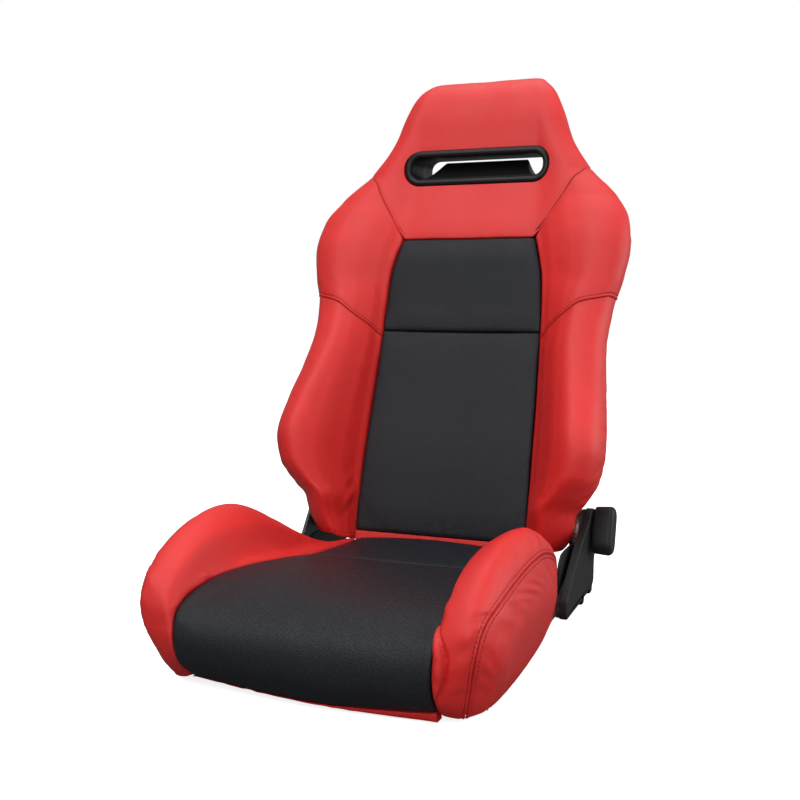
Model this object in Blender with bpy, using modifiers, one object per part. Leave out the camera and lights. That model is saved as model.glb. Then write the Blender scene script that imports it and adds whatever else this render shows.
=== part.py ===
"""Reclining racing bucket seat, built as an assembly of separate named pieces.

Metres, +Z up, the seat faces -Y and +X is the seat's own left.  z = 0 is the
plane the base side members stand on.  The origin is the bottom centre of the
whole seat.  Upholstery is modelled panel by panel, each panel a closed block
between an outer skin and an inner skin, with a narrow seam gap to its
neighbours.
"""
import math

import bmesh
import bpy
from mathutils import Matrix, Vector

# ------------------------------------------------------------------ sizes
DATUM_Y = -0.156           # fore-aft place of the cushion's own zero
CLEARANCE = 0.0004         # gap between pieces that would touch
SEAM_GAP = 0.0007          # half the gap left at a sewn seam

TILT = math.radians(17.0)  # backrest angle from upright, as photographed
BACK_Y = 0.295             # fore-aft place of the backrest's own zero
BACK_Z = 0.148             # height of the backrest's own zero
PIVOT_Y = 0.295            # recline axis
PIVOT_Z = 0.140

SHAFT_R = 0.006            # recline cross shaft
SHAFT_HOLE_R = SHAFT_R + CLEARANCE
ARM_X = 0.2165             # inner face of the backrest arms
ARM_THICK = 0.005
HOUSING_X = ARM_X + ARM_THICK + CLEARANCE
HOUSING_THICK = 0.0100
BRACKET_X = HOUSING_X + HOUSING_THICK + CLEARANCE
BRACKET_THICK = 0.005
COVER_X = BRACKET_X + BRACKET_THICK + CLEARANCE
COVER_THICK = 0.0120
KNOB_X = COVER_X + COVER_THICK + 0.0025
KNOB_THICK = 0.031
ARM_END_R = 0.033
HOUSING_R = 0.031
BRACKET_END_R = 0.032
KNOB_HALF_LENGTH = 0.039
KNOB_HALF_WIDTH = 0.020

MEMBER_X0 = 0.170          # base side members, C channels open inward
MEMBER_X1 = 0.197
MEMBER_TOP = 0.060
MEMBER_Y0 = -0.165
MEMBER_Y1 = 0.300
MEMBER_WALL = 0.003
MOUNT_HOLE_R = 0.00425     # clearance hole for an M8 bolt
MOUNT_HOLE_YS = (-0.130, 0.200)
FLOOR_Z = 0.071            # underside of the cushion foam
CROSS_TUBE_R = 0.011
FRONT_TUBE_Y = -0.140
REAR_TUBE_Y = 0.262
CROSS_TUBE_Z = 0.020
BRACKET_BOLTS = ((0.205, 0.049), (0.262, 0.049))
BOLT_R = 0.004
BOLT_HEAD_R = 0.0075
BOLT_HEAD_H = 0.0055

HOOP_R = 0.011             # backrest frame tube
HOOP_X = 0.2050
HOOP_T = -0.034
HOOP_BOTTOM_S = 0.030
HOOP_TOP_S = 0.455
WIRE_R = 0.0022

SLOT_S = 0.6055            # harness slot, height up the backrest
SLOT_T = 0.0205
SLOT_TILT = math.radians(10.0)
SLOT_HALF_W = 0.1200       # inside of the sleeve
SLOT_HALF_H = 0.0190
SLOT_CORNER = 0.0170
SLOT_RISE = 0.17           # the sleeve climbs this much per length rearward
SLEEVE_WALL = 0.0030
LIP_WIDTH = 0.0125

# pieces that turn with the backrest or with the knob
RECLINING = ("back_", "shoulder_wing_", "head_panel", "rear_panel", "slot_", "recline_")

# Backrest profile, one row per height s: half width, ridge height forward,
# inset of the ridge from the outer edge, centre face forward, panel edge x
BACK_ROWS = (
    (-0.064, 0.203, 0.056, 0.031, 0.026, 0.146),
    (-0.020, 0.222, 0.084, 0.033, 0.028, 0.147),
    (0.005, 0.231, 0.101, 0.034, 0.029, 0.147),
    (0.030, 0.252, 0.117, 0.035, 0.029, 0.147),
    (0.060, 0.270, 0.134, 0.037, 0.029, 0.147),
    (0.105, 0.277, 0.143, 0.039, 0.028, 0.146),
    (0.165, 0.271, 0.128, 0.041, 0.025, 0.145),
    (0.225, 0.263, 0.106, 0.043, 0.023, 0.143),
    (0.290, 0.260, 0.085, 0.046, 0.022, 0.141),
    (0.345, 0.265, 0.072, 0.048, 0.023, 0.139),
    (0.400, 0.277, 0.069, 0.050, 0.027, 0.136),
    (0.450, 0.284, 0.069, 0.054, 0.031, 0.126),
    (0.500, 0.276, 0.061, 0.056, 0.029, 0.114),
    (0.545, 0.252, 0.047, 0.052, 0.024, 0.112),
    (0.598, 0.203, 0.034, 0.042, 0.019, 0.110),
    (0.655, 0.172, 0.032, 0.034, 0.027, 0.106),
    (0.710, 0.151, 0.034, 0.030, 0.034, 0.098),
    (0.745, 0.130, 0.033, 0.026, 0.033, 0.086),
    (0.780, 0.100, 0.031, 0.020, 0.031, 0.066),
)
REAR_ROWS = ((-0.064, -0.085), (0.300, -0.085), (0.450, -0.080), (0.600, -0.068),
             (0.700, -0.060), (0.780, -0.056))
HEAD_DOME_S = 0.728        # the head starts to roll over here
HEAD_END_S = 0.7792
HEAD_DOME_LEN = 0.0520
HEAD_MID_T = -0.012
PANEL_SEAM_S = 0.308       # horizontal seam across the black backrest panel
PANEL_TOP_S = 0.473
HEM_TOP_S = -0.043
BACK_BOTTOM_S = -0.058
WING_TOP_S = 0.596
GUSSET_U = 6.3             # seam between bolster and side gusset
REAR_U = 9.3               # seam between side gusset and rear panel
SIDE_WALL = 0.020          # foam left outside the frame at the sides
REAR_PANEL = 0.0065
REAR_PANEL_GAP = 0.0020    # kept between the head foam and the rear panel

# Cushion lines, each from the front hem over the lip to the rear end
CENTRE_LINE = (
    (0.000, -0.231, 0.019), (0.000, -0.249, 0.048), (0.000, -0.248, 0.084),
    (0.000, -0.222, 0.110), (0.000, -0.165, 0.126), (0.000, -0.090, 0.130),
    (0.000, 0.000, 0.123), (0.000, 0.080, 0.114), (0.000, 0.160, 0.111),
    (0.000, 0.236, 0.113))
PAD_LINE = (
    (0.163, -0.216, 0.017), (0.168, -0.246, 0.046), (0.170, -0.252, 0.086),
    (0.170, -0.229, 0.117), (0.169, -0.168, 0.136), (0.167, -0.090, 0.139),
    (0.165, 0.000, 0.130), (0.162, 0.080, 0.118), (0.158, 0.160, 0.110),
    (0.153, 0.236, 0.103))
INNER_LINE = (
    (0.181, -0.213, 0.011), (0.187, -0.239, 0.044), (0.189, -0.251, 0.090),
    (0.189, -0.241, 0.132), (0.188, -0.190, 0.172), (0.187, -0.106, 0.188),
    (0.187, -0.010, 0.178), (0.184, 0.075, 0.149), (0.179, 0.160, 0.117),
    (0.172, 0.238, 0.088))
RIDGE_LINE = (
    (0.196, -0.207, 0.008), (0.208, -0.231, 0.044), (0.215, -0.250, 0.094),
    (0.218, -0.242, 0.146), (0.219, -0.188, 0.192), (0.220, -0.110, 0.211),
    (0.222, -0.018, 0.203), (0.217, 0.072, 0.165), (0.207, 0.160, 0.120),
    (0.194, 0.240, 0.085))
SEAM_LINE = (
    (0.209, -0.193, 0.007), (0.222, -0.211, 0.044), (0.239, -0.230, 0.092),
    (0.245, -0.223, 0.130), (0.247, -0.184, 0.162), (0.248, -0.109, 0.181),
    (0.246, -0.018, 0.180), (0.238, 0.068, 0.146), (0.2245, 0.158, 0.104),
    (0.209, 0.242, 0.084))
SIDE_LINE = (
    (0.215, -0.172, 0.006), (0.229, -0.180, 0.040), (0.245, -0.189, 0.075),
    (0.253, -0.178, 0.101), (0.255, -0.146, 0.115), (0.254, -0.090, 0.119),
    (0.249, -0.010, 0.116), (0.240, 0.060, 0.100), (0.2255, 0.152, 0.074),
    (0.212, 0.244, 0.062))
HEM_LINE = (
    (0.2180, -0.152, 0.005), (0.2190, -0.140, 0.005), (0.2200, -0.124, 0.005),
    (0.2210, -0.102, 0.005), (0.2220, -0.075, 0.006), (0.2225, -0.035, 0.007),
    (0.2220, 0.020, 0.009), (0.2195, 0.085, 0.012), (0.2150, 0.160, 0.018),
    (0.2100, 0.246, 0.024))
CUSHION_LINES = (CENTRE_LINE, PAD_LINE, INNER_LINE, RIDGE_LINE, SEAM_LINE,
                 SIDE_LINE, HEM_LINE)
CROSS_SEAM_V = 7.0         # cross seam of the cushion, in stations from the hem
SIDE_END_V = 8.30
FRONT_FOAM = 0.024         # foam depth behind the front hem
UNDERCUT = 0.018           # how far the foam is drawn in under the bolster
FLOOR_V = 1.4              # station where the inner skin turns into the floor


# ------------------------------------------------------------------ scene set-up
for old in list(bpy.data.objects):
    bpy.data.objects.remove(old, do_unlink=True)

seat = bpy.data.collections.new("RacingSeat")
cutters = bpy.data.collections.new("Cutters")
bpy.context.scene.collection.children.link(seat)
bpy.context.scene.collection.children.link(cutters)


def make_material(name, colour, roughness, metallic=0.0):
    """Principled material of one piece."""
    mat = bpy.data.materials.new(name)
    mat.use_nodes = True
    shader = mat.node_tree.nodes["Principled BSDF"]
    shader.inputs["Base Color"].default_value = (*colour, 1.0)
    shader.inputs["Roughness"].default_value = roughness
    shader.inputs["Metallic"].default_value = metallic
    return mat


RED = (0.58, 0.035, 0.035)
BLACK = (0.030, 0.030, 0.034)
PLASTIC = (0.017, 0.016, 0.017)
STEEL = (0.045, 0.045, 0.048)
BRIGHT = (0.55, 0.55, 0.56)


def finish(obj, colour, roughness, metallic=0.0):
    """Put an object in the seat collection with its own material."""
    for user in list(obj.users_collection):
        user.objects.unlink(obj)
    seat.objects.link(obj)
    obj.data.materials.clear()
    obj.data.materials.append(make_material(obj.name + "_mat", colour, roughness, metallic))
    return obj


def object_from_bmesh(name, bm):
    """Turn a bmesh into an object with its faces turned outward."""
    bmesh.ops.recalc_face_normals(bm, faces=bm.faces)
    mesh = bpy.data.meshes.new(name)
    bm.to_mesh(mesh)
    bm.free()
    obj = bpy.data.objects.new(name, mesh)
    seat.objects.link(obj)
    return obj


def apply_modifiers(obj):
    """Replace the object's mesh by its evaluated one."""
    graph = bpy.context.evaluated_depsgraph_get()
    done = bpy.data.meshes.new_from_object(obj.evaluated_get(graph))
    obj.modifiers.clear()
    obj.data = done
    return obj


def cut(obj, tool):
    """Take a cutter out of an object."""
    for user in list(tool.users_collection):
        user.objects.unlink(tool)
    cutters.objects.link(tool)
    tool.hide_render = True
    tool.display_type = "WIRE"
    mod = obj.modifiers.new("cut", "BOOLEAN")
    mod.operation = "DIFFERENCE"
    mod.solver = "EXACT"
    mod.object = tool
    bpy.context.view_layer.update()
    return apply_modifiers(obj)


def round_rim(obj, width, segments):
    """Round the sharp edges of an object."""
    mod = obj.modifiers.new("rim", "BEVEL")
    mod.width = width
    mod.segments = segments
    mod.limit_method = "ANGLE"
    mod.angle_limit = math.radians(60)
    bpy.context.view_layer.update()
    return apply_modifiers(obj)


# ------------------------------------------------------------------ plain shapes
def box(name, low, high):
    """Box between two corners."""
    bm = bmesh.new()
    bmesh.ops.create_cube(bm, size=1.0)
    size = [b - a for a, b in zip(low, high)]
    middle = [(a + b) / 2 for a, b in zip(low, high)]
    bmesh.ops.scale(bm, vec=size, verts=bm.verts)
    bmesh.ops.translate(bm, vec=middle, verts=bm.verts)
    return object_from_bmesh(name, bm)


def rod_x(name, x0, x1, y, z, radius, sides=16):
    """Round bar along X."""
    bm = bmesh.new()
    turn = Matrix.Rotation(math.pi / 2, 4, "Y")
    place = Matrix.Translation(((x0 + x1) / 2, y, z))
    bmesh.ops.create_cone(bm, cap_ends=True, segments=sides, radius1=radius, radius2=radius,
                          depth=abs(x1 - x0), matrix=place @ turn)
    return object_from_bmesh(name, bm)


def rod_z(name, x, y, z0, z1, radius, sides=16):
    """Round bar along Z."""
    bm = bmesh.new()
    place = Matrix.Translation((x, y, (z0 + z1) / 2))
    bmesh.ops.create_cone(bm, cap_ends=True, segments=sides, radius1=radius, radius2=radius,
                          depth=abs(z1 - z0), matrix=place)
    return object_from_bmesh(name, bm)


def plate_x(name, outline, x0, x1):
    """Flat plate from a (y, z) outline, between two x planes."""
    bm = bmesh.new()
    low, high = min(x0, x1), max(x0, x1)
    verts = [bm.verts.new((low, y, z)) for y, z in outline]
    face = bm.faces.new(verts)
    grown = bmesh.ops.extrude_face_region(bm, geom=[face])
    moved = [g for g in grown["geom"] if isinstance(g, bmesh.types.BMVert)]
    bmesh.ops.translate(bm, vec=(high - low, 0.0, 0.0), verts=moved)
    return object_from_bmesh(name, bm)


def arc(cy, cz, radius, start, end, count):
    """Points on an arc in the (y, z) plane, angles in degrees from +Y."""
    points = []
    for i in range(count + 1):
        a = math.radians(start + (end - start) * i / count)
        points.append((cy + radius * math.cos(a), cz + radius * math.sin(a)))
    return points


def swept_tube(name, points, radius, sides=8):
    """Tube along a polyline, its ends closed."""
    curve = bpy.data.curves.new(name, "CURVE")
    curve.dimensions = "3D"
    curve.bevel_depth = radius
    curve.bevel_resolution = max(0, sides // 4 - 1)
    curve.use_fill_caps = True
    curve.twist_mode = "MINIMUM"
    spline = curve.splines.new("POLY")
    spline.points.add(len(points) - 1)
    for place, point in zip(spline.points, points):
        place.co = (*point, 1.0)
    holder = bpy.data.objects.new(name + "_path", curve)
    seat.objects.link(holder)
    bpy.context.view_layer.update()
    graph = bpy.context.evaluated_depsgraph_get()
    mesh = bpy.data.meshes.new_from_object(holder.evaluated_get(graph))
    mesh.name = name
    bpy.data.objects.remove(holder, do_unlink=True)
    bm = bmesh.new()
    bm.from_mesh(mesh)
    bmesh.ops.remove_doubles(bm, verts=bm.verts, dist=0.00005)
    return object_from_bmesh(name, bm)


# ------------------------------------------------------------------ smooth lines
def through(points, place):
    """Smooth curve through equally spaced points, place in stations."""
    last = len(points) - 1
    place = min(max(place, 0.0), float(last))
    i = min(int(place), last - 1)
    f = place - i
    out = []
    for k in range(len(points[0])):
        b = points[i][k]
        c = points[i + 1][k]
        a = points[i - 1][k] if i > 0 else 2 * b - c
        d = points[i + 2][k] if i + 2 <= last else 2 * c - b
        out.append(0.5 * (2 * b + (c - a) * f + (2 * a - 5 * b + 4 * c - d) * f * f
                          + (3 * b - a - 3 * c + d) * f ** 3))
    return out


def from_rows(rows, key):
    """Smooth, never overshooting column values at a key."""
    keys = [row[0] for row in rows]
    last = len(rows) - 1
    key = min(max(key, keys[0]), keys[-1])
    i = 0
    while i < last - 1 and key > keys[i + 1]:
        i += 1
    step = keys[i + 1] - keys[i]
    t = (key - keys[i]) / step
    values = []
    for k in range(1, len(rows[0])):
        slopes = []
        for j in (i, i + 1):
            if 0 < j < last:
                left = (rows[j][k] - rows[j - 1][k]) / (keys[j] - keys[j - 1])
                right = (rows[j + 1][k] - rows[j][k]) / (keys[j + 1] - keys[j])
                slopes.append(2 * left * right / (left + right) if left * right > 0 else 0.0)
            elif j == 0:
                slopes.append((rows[1][k] - rows[0][k]) / (keys[1] - keys[0]))
            else:
                slopes.append((rows[last][k] - rows[last - 1][k]) / (keys[last] - keys[last - 1]))
        values.append(rows[i][k] * (1 + 2 * t) * (1 - t) ** 2
                      + slopes[0] * step * t * (1 - t) ** 2
                      + rows[i + 1][k] * t * t * (3 - 2 * t)
                      + slopes[1] * step * t * t * (t - 1))
    return values


def half_section(points, place, closed):
    """Point on a half section that starts, and if closed ends, on the centre plane."""
    rows = [(-1, -points[1][0], *points[1][1:])]
    rows += [(k, *point) for k, point in enumerate(points)]
    if closed:
        rows.append((len(points), -points[-2][0], *points[-2][1:]))
    return from_rows(rows, place)


def ramp(value, low, high):
    """Smooth step from 0 to 1."""
    t = min(max((value - low) / (high - low), 0.0), 1.0)
    return t * t * (3 - 2 * t)


def spread(low, high, count, edge=0.0):
    """Evenly spread values with extra ones close to both ends."""
    values = [low + (high - low) * i / count for i in range(count + 1)]
    if edge:
        values.insert(1, low + edge)
        values.insert(-1, high - edge)
    return values


# ------------------------------------------------------------------ backrest shape
def back_point(x, s, t):
    """World place of a point across, up and forward on the backrest."""
    y = DATUM_Y + BACK_Y + s * math.sin(TILT) - t * math.cos(TILT)
    z = BACK_Z + s * math.cos(TILT) + t * math.sin(TILT)
    return (x, y, z)


def side_taper(w):
    """Share of the full side taper kept where the backrest is narrow."""
    return min(1.0, w / 0.26) ** 2


def back_stations(s):
    """Half section at a height: from the centre front round to the centre rear."""
    w, ridge, inset, centre, edge = from_rows(BACK_ROWS, s)
    rear = from_rows(REAR_ROWS, s)[0]
    xr = w - inset
    xe = min(edge, xr - 0.012)
    te = centre + 0.004 * (1 - ramp(s, 0.40, 0.50))
    deep = ridge - rear
    narrow = side_taper(w)
    return (
        (0.0, centre), (xe * 0.55, centre + 0.0015), (xe, te),
        (xe + 0.30 * (xr - xe), te + 0.36 * (ridge - te)),
        (xe + 0.66 * (xr - xe), te + 0.80 * (ridge - te)),
        (xr, ridge), (xr + 0.72 * (w - xr), ridge - 0.07 * deep),
        (w, ridge - 0.25 * deep), (w - 0.019 * narrow, ridge - 0.58 * deep),
        (w - 0.044 * narrow, rear + 0.12 * deep), (w - 0.075 * narrow, rear),
        (w * 0.45, rear - 0.004), (0.0, rear - 0.006))


def back_section(s, u):
    """Point (x, t) of the section at height s, u in stations."""
    return half_section(back_stations(s), u, True)


def squeeze(s):
    """Share of the head's depth left at a height, falling to none at its top."""
    part = min(max((s - HEAD_DOME_S) / HEAD_DOME_LEN, 0.0), 0.995)
    return math.sqrt(1 - part * part)


def roll_over(s, t):
    """Bring the front and rear of the head together over its top."""
    return HEAD_MID_T + (t - HEAD_MID_T) * squeeze(s)


def rear_depth(s, depth):
    """Depth inside the rear panel, never squeezed below a third."""
    return depth * max(squeeze(s), 0.35)


def back_skin(u, s):
    """Outer skin (x, s, t) at station u, negative u on the seat's right."""
    x, t = back_section(s, abs(u))
    return (math.copysign(x, u), s, roll_over(s, t))


def back_inside(u, s):
    """Inner skin of the front blocks at station u."""
    side = abs(u)
    w = from_rows(BACK_ROWS, s)[0]
    rear = from_rows(REAR_ROWS, s)[0]
    seam_x = back_section(s, GUSSET_U)[0]
    solid = ramp(s, 0.495, 0.560)
    narrow = side_taper(w)
    limit = w - SIDE_WALL - (0.080 * narrow + 0.004 - SIDE_WALL) * solid
    if side <= GUSSET_U:
        x = back_section(s, side)[0] * limit / seam_x
    else:
        x = limit
    outer = 0.036 - 0.024 * ramp(s, 0.25, 0.35)
    middle = 0.010 - 0.014 * ramp(s, 0.010, 0.060)
    t = middle + (outer - middle) * min(max((side - 2) / (GUSSET_U - 2), 0.0), 1.0)
    round_side = min(max((side - GUSSET_U) / (REAR_U - GUSSET_U), 0.0), 1.0)
    depth = REAR_PANEL + 0.006 * (1 - round_side)
    foam = roll_over(s, rear) + rear_depth(s, depth) + REAR_PANEL_GAP
    return (math.copysign(x, u), s, roll_over(s, t) * (1 - solid) + foam * solid)


def gusset_inside(u, s):
    """Inner skin of the side gusset, a wedge that is thin at the bolster seam."""
    x, s, t = back_skin(u, s)
    part = (abs(u) - GUSSET_U) / (REAR_U - GUSSET_U)
    thick = 0.0010 + 0.0100 * part ** 1.2
    return (math.copysign(abs(x) - thick, u), s, t + 0.004 * part)


def rear_section(u, s, depth):
    """Rear panel point, depth forward of its outer face, u from -1 to 1 across."""
    x, t = back_section(s, 12.0 - (12.0 - REAR_U - 0.035) * abs(u))
    return (math.copysign(x, u) if u else 0.0, s, roll_over(s, t) + rear_depth(s, depth))


def rear_skin(u, s):
    """Outer skin of the rear panel."""
    return rear_section(u, s, 0.0)


def rear_inside(u, s):
    """Inner skin of the rear panel, thin at its sewn rim."""
    x, s, t = rear_section(u, s, 0.0015 + (REAR_PANEL - 0.0015) * (1 - abs(u) ** 6))
    return (x - math.copysign(0.0025 * u * u * squeeze(s), u), s, t)


def lower_edge(side):
    """Lower edge of the backrest upholstery, by station from the centre."""
    rows = ((0.0, BACK_BOTTOM_S), (4.0, BACK_BOTTOM_S), (5.0, -0.054),
            (5.8, -0.042), (6.3, -0.026), (7.0, 0.014), (7.5, 0.034), (8.0, 0.045),
            (9.3, 0.058), (12.0, 0.060))
    return from_rows(rows, side)[0]


def wing_lower_edge(side):
    """Seam between back bolster and shoulder wing."""
    rows = ((2.0, PANEL_SEAM_S - 0.010), (4.0, 0.330), (5.0, 0.347), (6.3, 0.362))
    return from_rows(rows, side)[0]


def wing_upper_edge(side):
    """Seam between shoulder wing and head panel."""
    rows = ((2.0, PANEL_TOP_S), (4.0, 0.530), (5.0, 0.566), (6.3, WING_TOP_S), (9.3, WING_TOP_S + 0.004))
    return from_rows(rows, side)[0]


# ------------------------------------------------------------------ cushion shape
def cushion_skin(u, v):
    """Outer skin of the cushion, u across in lines, v in stations from the hem."""
    x, y, z = half_section([through(line, v) for line in CUSHION_LINES], abs(u), False)
    return (math.copysign(x, u) if u else 0.0, y + DATUM_Y, z)


def cushion_wall(u, v):
    """Inner skin point behind the front of the cushion, drawn in under the bolster."""
    x, y, z = cushion_skin(u, v)
    if abs(u) > 1.0:
        seam_x = cushion_skin(1.0, v)[0]
        reach = cushion_skin(4.0, v)[0] - seam_x
        x = math.copysign(seam_x + (abs(x) - seam_x) * (1 - UNDERCUT / reach), u)
    return x, y + FRONT_FOAM, z


def cushion_inside(u, v):
    """Inner skin under the pads and bolsters: a front wall, then a flat floor."""
    x, y, z = cushion_wall(u, min(v, FLOOR_V))
    if v <= FLOOR_V:
        return (x, y, z)
    end_x, end_y, end_z = cushion_wall(u, 9.0)
    share = ((v - FLOOR_V) / (9.0 - FLOOR_V)) ** 1.5
    return (x + (end_x - x) * share, y + (end_y - FRONT_FOAM - y) * share, FLOOR_Z)


def side_inside(u, v):
    """Inner skin of the cushion's side panel, thin at the sewn seam."""
    x, y, z = cushion_skin(u, v)
    part = (abs(u) - 4.0) / 2.0
    thick = 0.0012 + 0.0088 * part ** 1.2
    return (math.copysign(abs(x) - thick, u), y + 0.003 * (1 - ramp(v, 1.0, 4.0)), z)


# ------------------------------------------------------------------ panel blocks
def block(name, outer, inner, us, edges, vs, place, tuck=0.003, tuck_width=0.010):
    """Closed padded panel between two skins.

    edges(u) gives the limits of v from the lower to the upper rim; near the rim
    the outer skin is drawn in, as a sewn panel is.  The walls are split into
    triangles the same way on both sides of a seam.
    """
    rows = [[(u, along(edges(u), f)) for u in us] for f in vs]
    tops = [[Vector(place(*outer(u, v))) for u, v in row] for row in rows]
    unders = [[Vector(place(*inner(u, v))) for u, v in row] for row in rows]
    count_v, count_u = len(rows), len(us)
    bm = bmesh.new()
    top, under = [], []
    for j in range(count_v):
        line = []
        for i in range(count_u):
            here = tops[j][i]
            near = min((here - tops[0][i]).length, (here - tops[-1][i]).length,
                       (here - tops[j][0]).length, (here - tops[j][-1]).length)
            pull = tuck * max(0.0, 1 - near / tuck_width) ** 2
            inward = unders[j][i] - here
            if inward.length > 1e-6:
                here = here + inward.normalized() * min(pull, inward.length * 0.4)
            line.append(bm.verts.new(here))
        top.append(line)
        under.append([bm.verts.new(p) for p in unders[j]])
    for j in range(count_v - 1):
        for i in range(count_u - 1):
            bm.faces.new((top[j][i], top[j][i + 1], top[j + 1][i + 1], top[j + 1][i]))
            bm.faces.new((under[j][i], under[j + 1][i], under[j + 1][i + 1], under[j][i + 1]))
    for j in (0, -1):
        for i in range(count_u - 1):
            near, far = (i, i + 1) if abs(us[i]) < abs(us[i + 1]) else (i + 1, i)
            bm.faces.new((top[j][near], top[j][far], under[j][far]))
            bm.faces.new((top[j][near], under[j][far], under[j][near]))
    for i in (0, -1):
        for j in range(count_v - 1):
            bm.faces.new((top[j][i], top[j + 1][i], under[j + 1][i]))
            bm.faces.new((top[j][i], under[j + 1][i], under[j][i]))
    bmesh.ops.triangulate(bm, faces=bm.faces)
    return object_from_bmesh(name, bm)


def along(limits, f):
    """Value at place f on a run of limits that are one apart."""
    i = min(int(f), len(limits) - 2)
    return limits[i] + (limits[i + 1] - limits[i]) * (f - i)


def plain(x, y, z):
    """Cushion skins are already in world places."""
    return (x, y, z)


def fractions(count, edge=0.03):
    """Rows of a block from one rim to the other, closer at the rims."""
    return [0.0, edge] + [i / count for i in range(1, count)] + [1 - edge, 1.0]


# ------------------------------------------------------------------ upholstery: cushion
U_GAP = 0.035              # seam gap across, in stations
V_GAP = 0.010              # seam gap along, in stations
SIDE_GAP = 0.070           # wider seam gap where the panels meet at a sharp angle

def rows_between(values, low, high):
    """Shared row places that fall in a panel, as fractions of its length."""
    inside = [v for v in values if low + 0.03 < v < high - 0.03]
    return [(v - low) / (high - low) for v in [low] + inside + [high]]


CUSHION_ROWS = [0.10, 0.6, 1.2, 1.8, 2.3, 2.8, 3.3, 3.8, 4.3, 4.9, 5.5, 6.2, 6.85, 7.15, 7.7, 8.2, 8.9]
pad_us = spread(U_GAP - 1.0, 1.0 - U_GAP, 8, 0.03)
seam_low, seam_high = CROSS_SEAM_V - V_GAP, CROSS_SEAM_V + V_GAP
finish(block("cushion_centre_pad", cushion_skin, cushion_inside, pad_us, lambda u: (0.0, seam_low),
             rows_between(CUSHION_ROWS, 0.0, seam_low), plain), BLACK, 0.55)
finish(block("cushion_rear_strip", cushion_skin, cushion_inside, pad_us, lambda u: (seam_high, 9.0),
             rows_between(CUSHION_ROWS, seam_high, 9.0), plain), BLACK, 0.55)

for side, tag in ((1, "left"), (-1, "right")):
    bolster_us = [side * u for u in spread(1.0 + U_GAP, 4.0 - SIDE_GAP, 7, 0.06)]
    finish(block("cushion_bolster_" + tag, cushion_skin, cushion_inside, bolster_us,
                 lambda u: (0.0, 9.0), rows_between(CUSHION_ROWS, 0.0, 9.0), plain), RED, 0.5)
    side_us = [side * u for u in spread(4.0 + SIDE_GAP, 6.0, 4, 0.08)]
    finish(block("cushion_side_panel_" + tag, cushion_skin, side_inside, side_us,
                 lambda u: (0.0, SIDE_END_V), rows_between(CUSHION_ROWS, 0.0, SIDE_END_V), plain),
           RED, 0.5)


def hem_skin(u, v):
    """Red hem strip under the front of the black pad, v from 0 to 1 downward."""
    x, y, z = cushion_skin(u, 0.0)
    return (x, y + 0.001 + 0.003 * v, z - 0.0012 - 0.0080 * v)


def hem_inside(u, v):
    """Inner skin of the hem strip."""
    x, y, z = hem_skin(u, v)
    return (x, y + 0.016, z)


finish(block("cushion_front_hem", hem_skin, hem_inside, spread(-0.97, 0.97, 8),
             lambda u: (0.0, 1.0), [0.0, 0.5, 1.0], plain, tuck=0.001, tuck_width=0.004),
       RED, 0.5)

# ------------------------------------------------------------------ upholstery: backrest
centre_us = spread(-2 + U_GAP, 2 - U_GAP, 8, 0.06)
finish(block("back_hem", back_skin, back_inside, centre_us,
             lambda u: (BACK_BOTTOM_S, HEM_TOP_S - SEAM_GAP), [0.0, 0.3, 0.7, 1.0], back_point,
             tuck=0.002, tuck_width=0.005), RED, 0.5)
finish(block("back_pad_lower", back_skin, back_inside, centre_us,
             lambda u: (HEM_TOP_S + SEAM_GAP, PANEL_SEAM_S - SEAM_GAP), fractions(8, 0.012),
             back_point), BLACK, 0.55)
finish(block("back_pad_upper", back_skin, back_inside, centre_us,
             lambda u: (PANEL_SEAM_S + SEAM_GAP, PANEL_TOP_S - SEAM_GAP), fractions(6, 0.02),
             back_point), BLACK, 0.55)

front_half = spread(2 + U_GAP, GUSSET_U - SIDE_GAP, 9, 0.10)
bolster_rows, wing_rows = fractions(12, 0.012), fractions(9, 0.02)
low, seam, high = (edge(GUSSET_U) for edge in (lower_edge, wing_lower_edge, wing_upper_edge))
gusset_rows = ([(seam - low) / (high - low) * f for f in bolster_rows]
               + [(seam - low + (high - seam) * f) / (high - low) for f in wing_rows[1:]])
for side, tag in ((1, "left"), (-1, "right")):
    front_us = [side * u for u in front_half]
    finish(block("back_bolster_" + tag, back_skin, back_inside, front_us,
                 lambda u: (lower_edge(abs(u)), wing_lower_edge(abs(u)) - SEAM_GAP),
                 bolster_rows, back_point), RED, 0.5)
    finish(block("shoulder_wing_" + tag, back_skin, back_inside, front_us,
                 lambda u: (wing_lower_edge(abs(u)) + SEAM_GAP, wing_upper_edge(abs(u)) - SEAM_GAP),
                 wing_rows, back_point), RED, 0.5)
    gusset_us = [side * u for u in spread(GUSSET_U + SIDE_GAP, REAR_U - 0.08, 4, 0.10)]
    finish(block("back_gusset_" + tag, back_skin, gusset_inside, gusset_us,
                 lambda u: (lower_edge(abs(u)), wing_upper_edge(abs(u)) - SEAM_GAP),
                 gusset_rows, back_point), RED, 0.5)

head_half = [1.0, 2.0] + front_half + [6.7, 7.2, 7.9, 8.6, REAR_U - 0.15]
head_us = [-u for u in reversed(head_half)] + [0.0] + head_half
dome_rows = [1.0, 1.28, 1.52, 1.72, 1.85, 1.94, 1.985, 2.0]
head = block("head_panel", back_skin, back_inside, head_us,
             lambda u: (wing_upper_edge(max(abs(u), 2.0)) + SEAM_GAP, HEAD_DOME_S, HEAD_END_S),
             [0.0, 0.03, 0.15, 0.32, 0.49, 0.66, 0.83] + dome_rows, back_point)

rear = block("rear_panel", rear_skin, rear_inside, spread(-1.0, 1.0, 10, 0.04),
             lambda u: (0.060, HEAD_DOME_S, HEAD_END_S), fractions(14, 0.01)[:-2] + dome_rows,
             back_point, tuck=0.0015)


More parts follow.
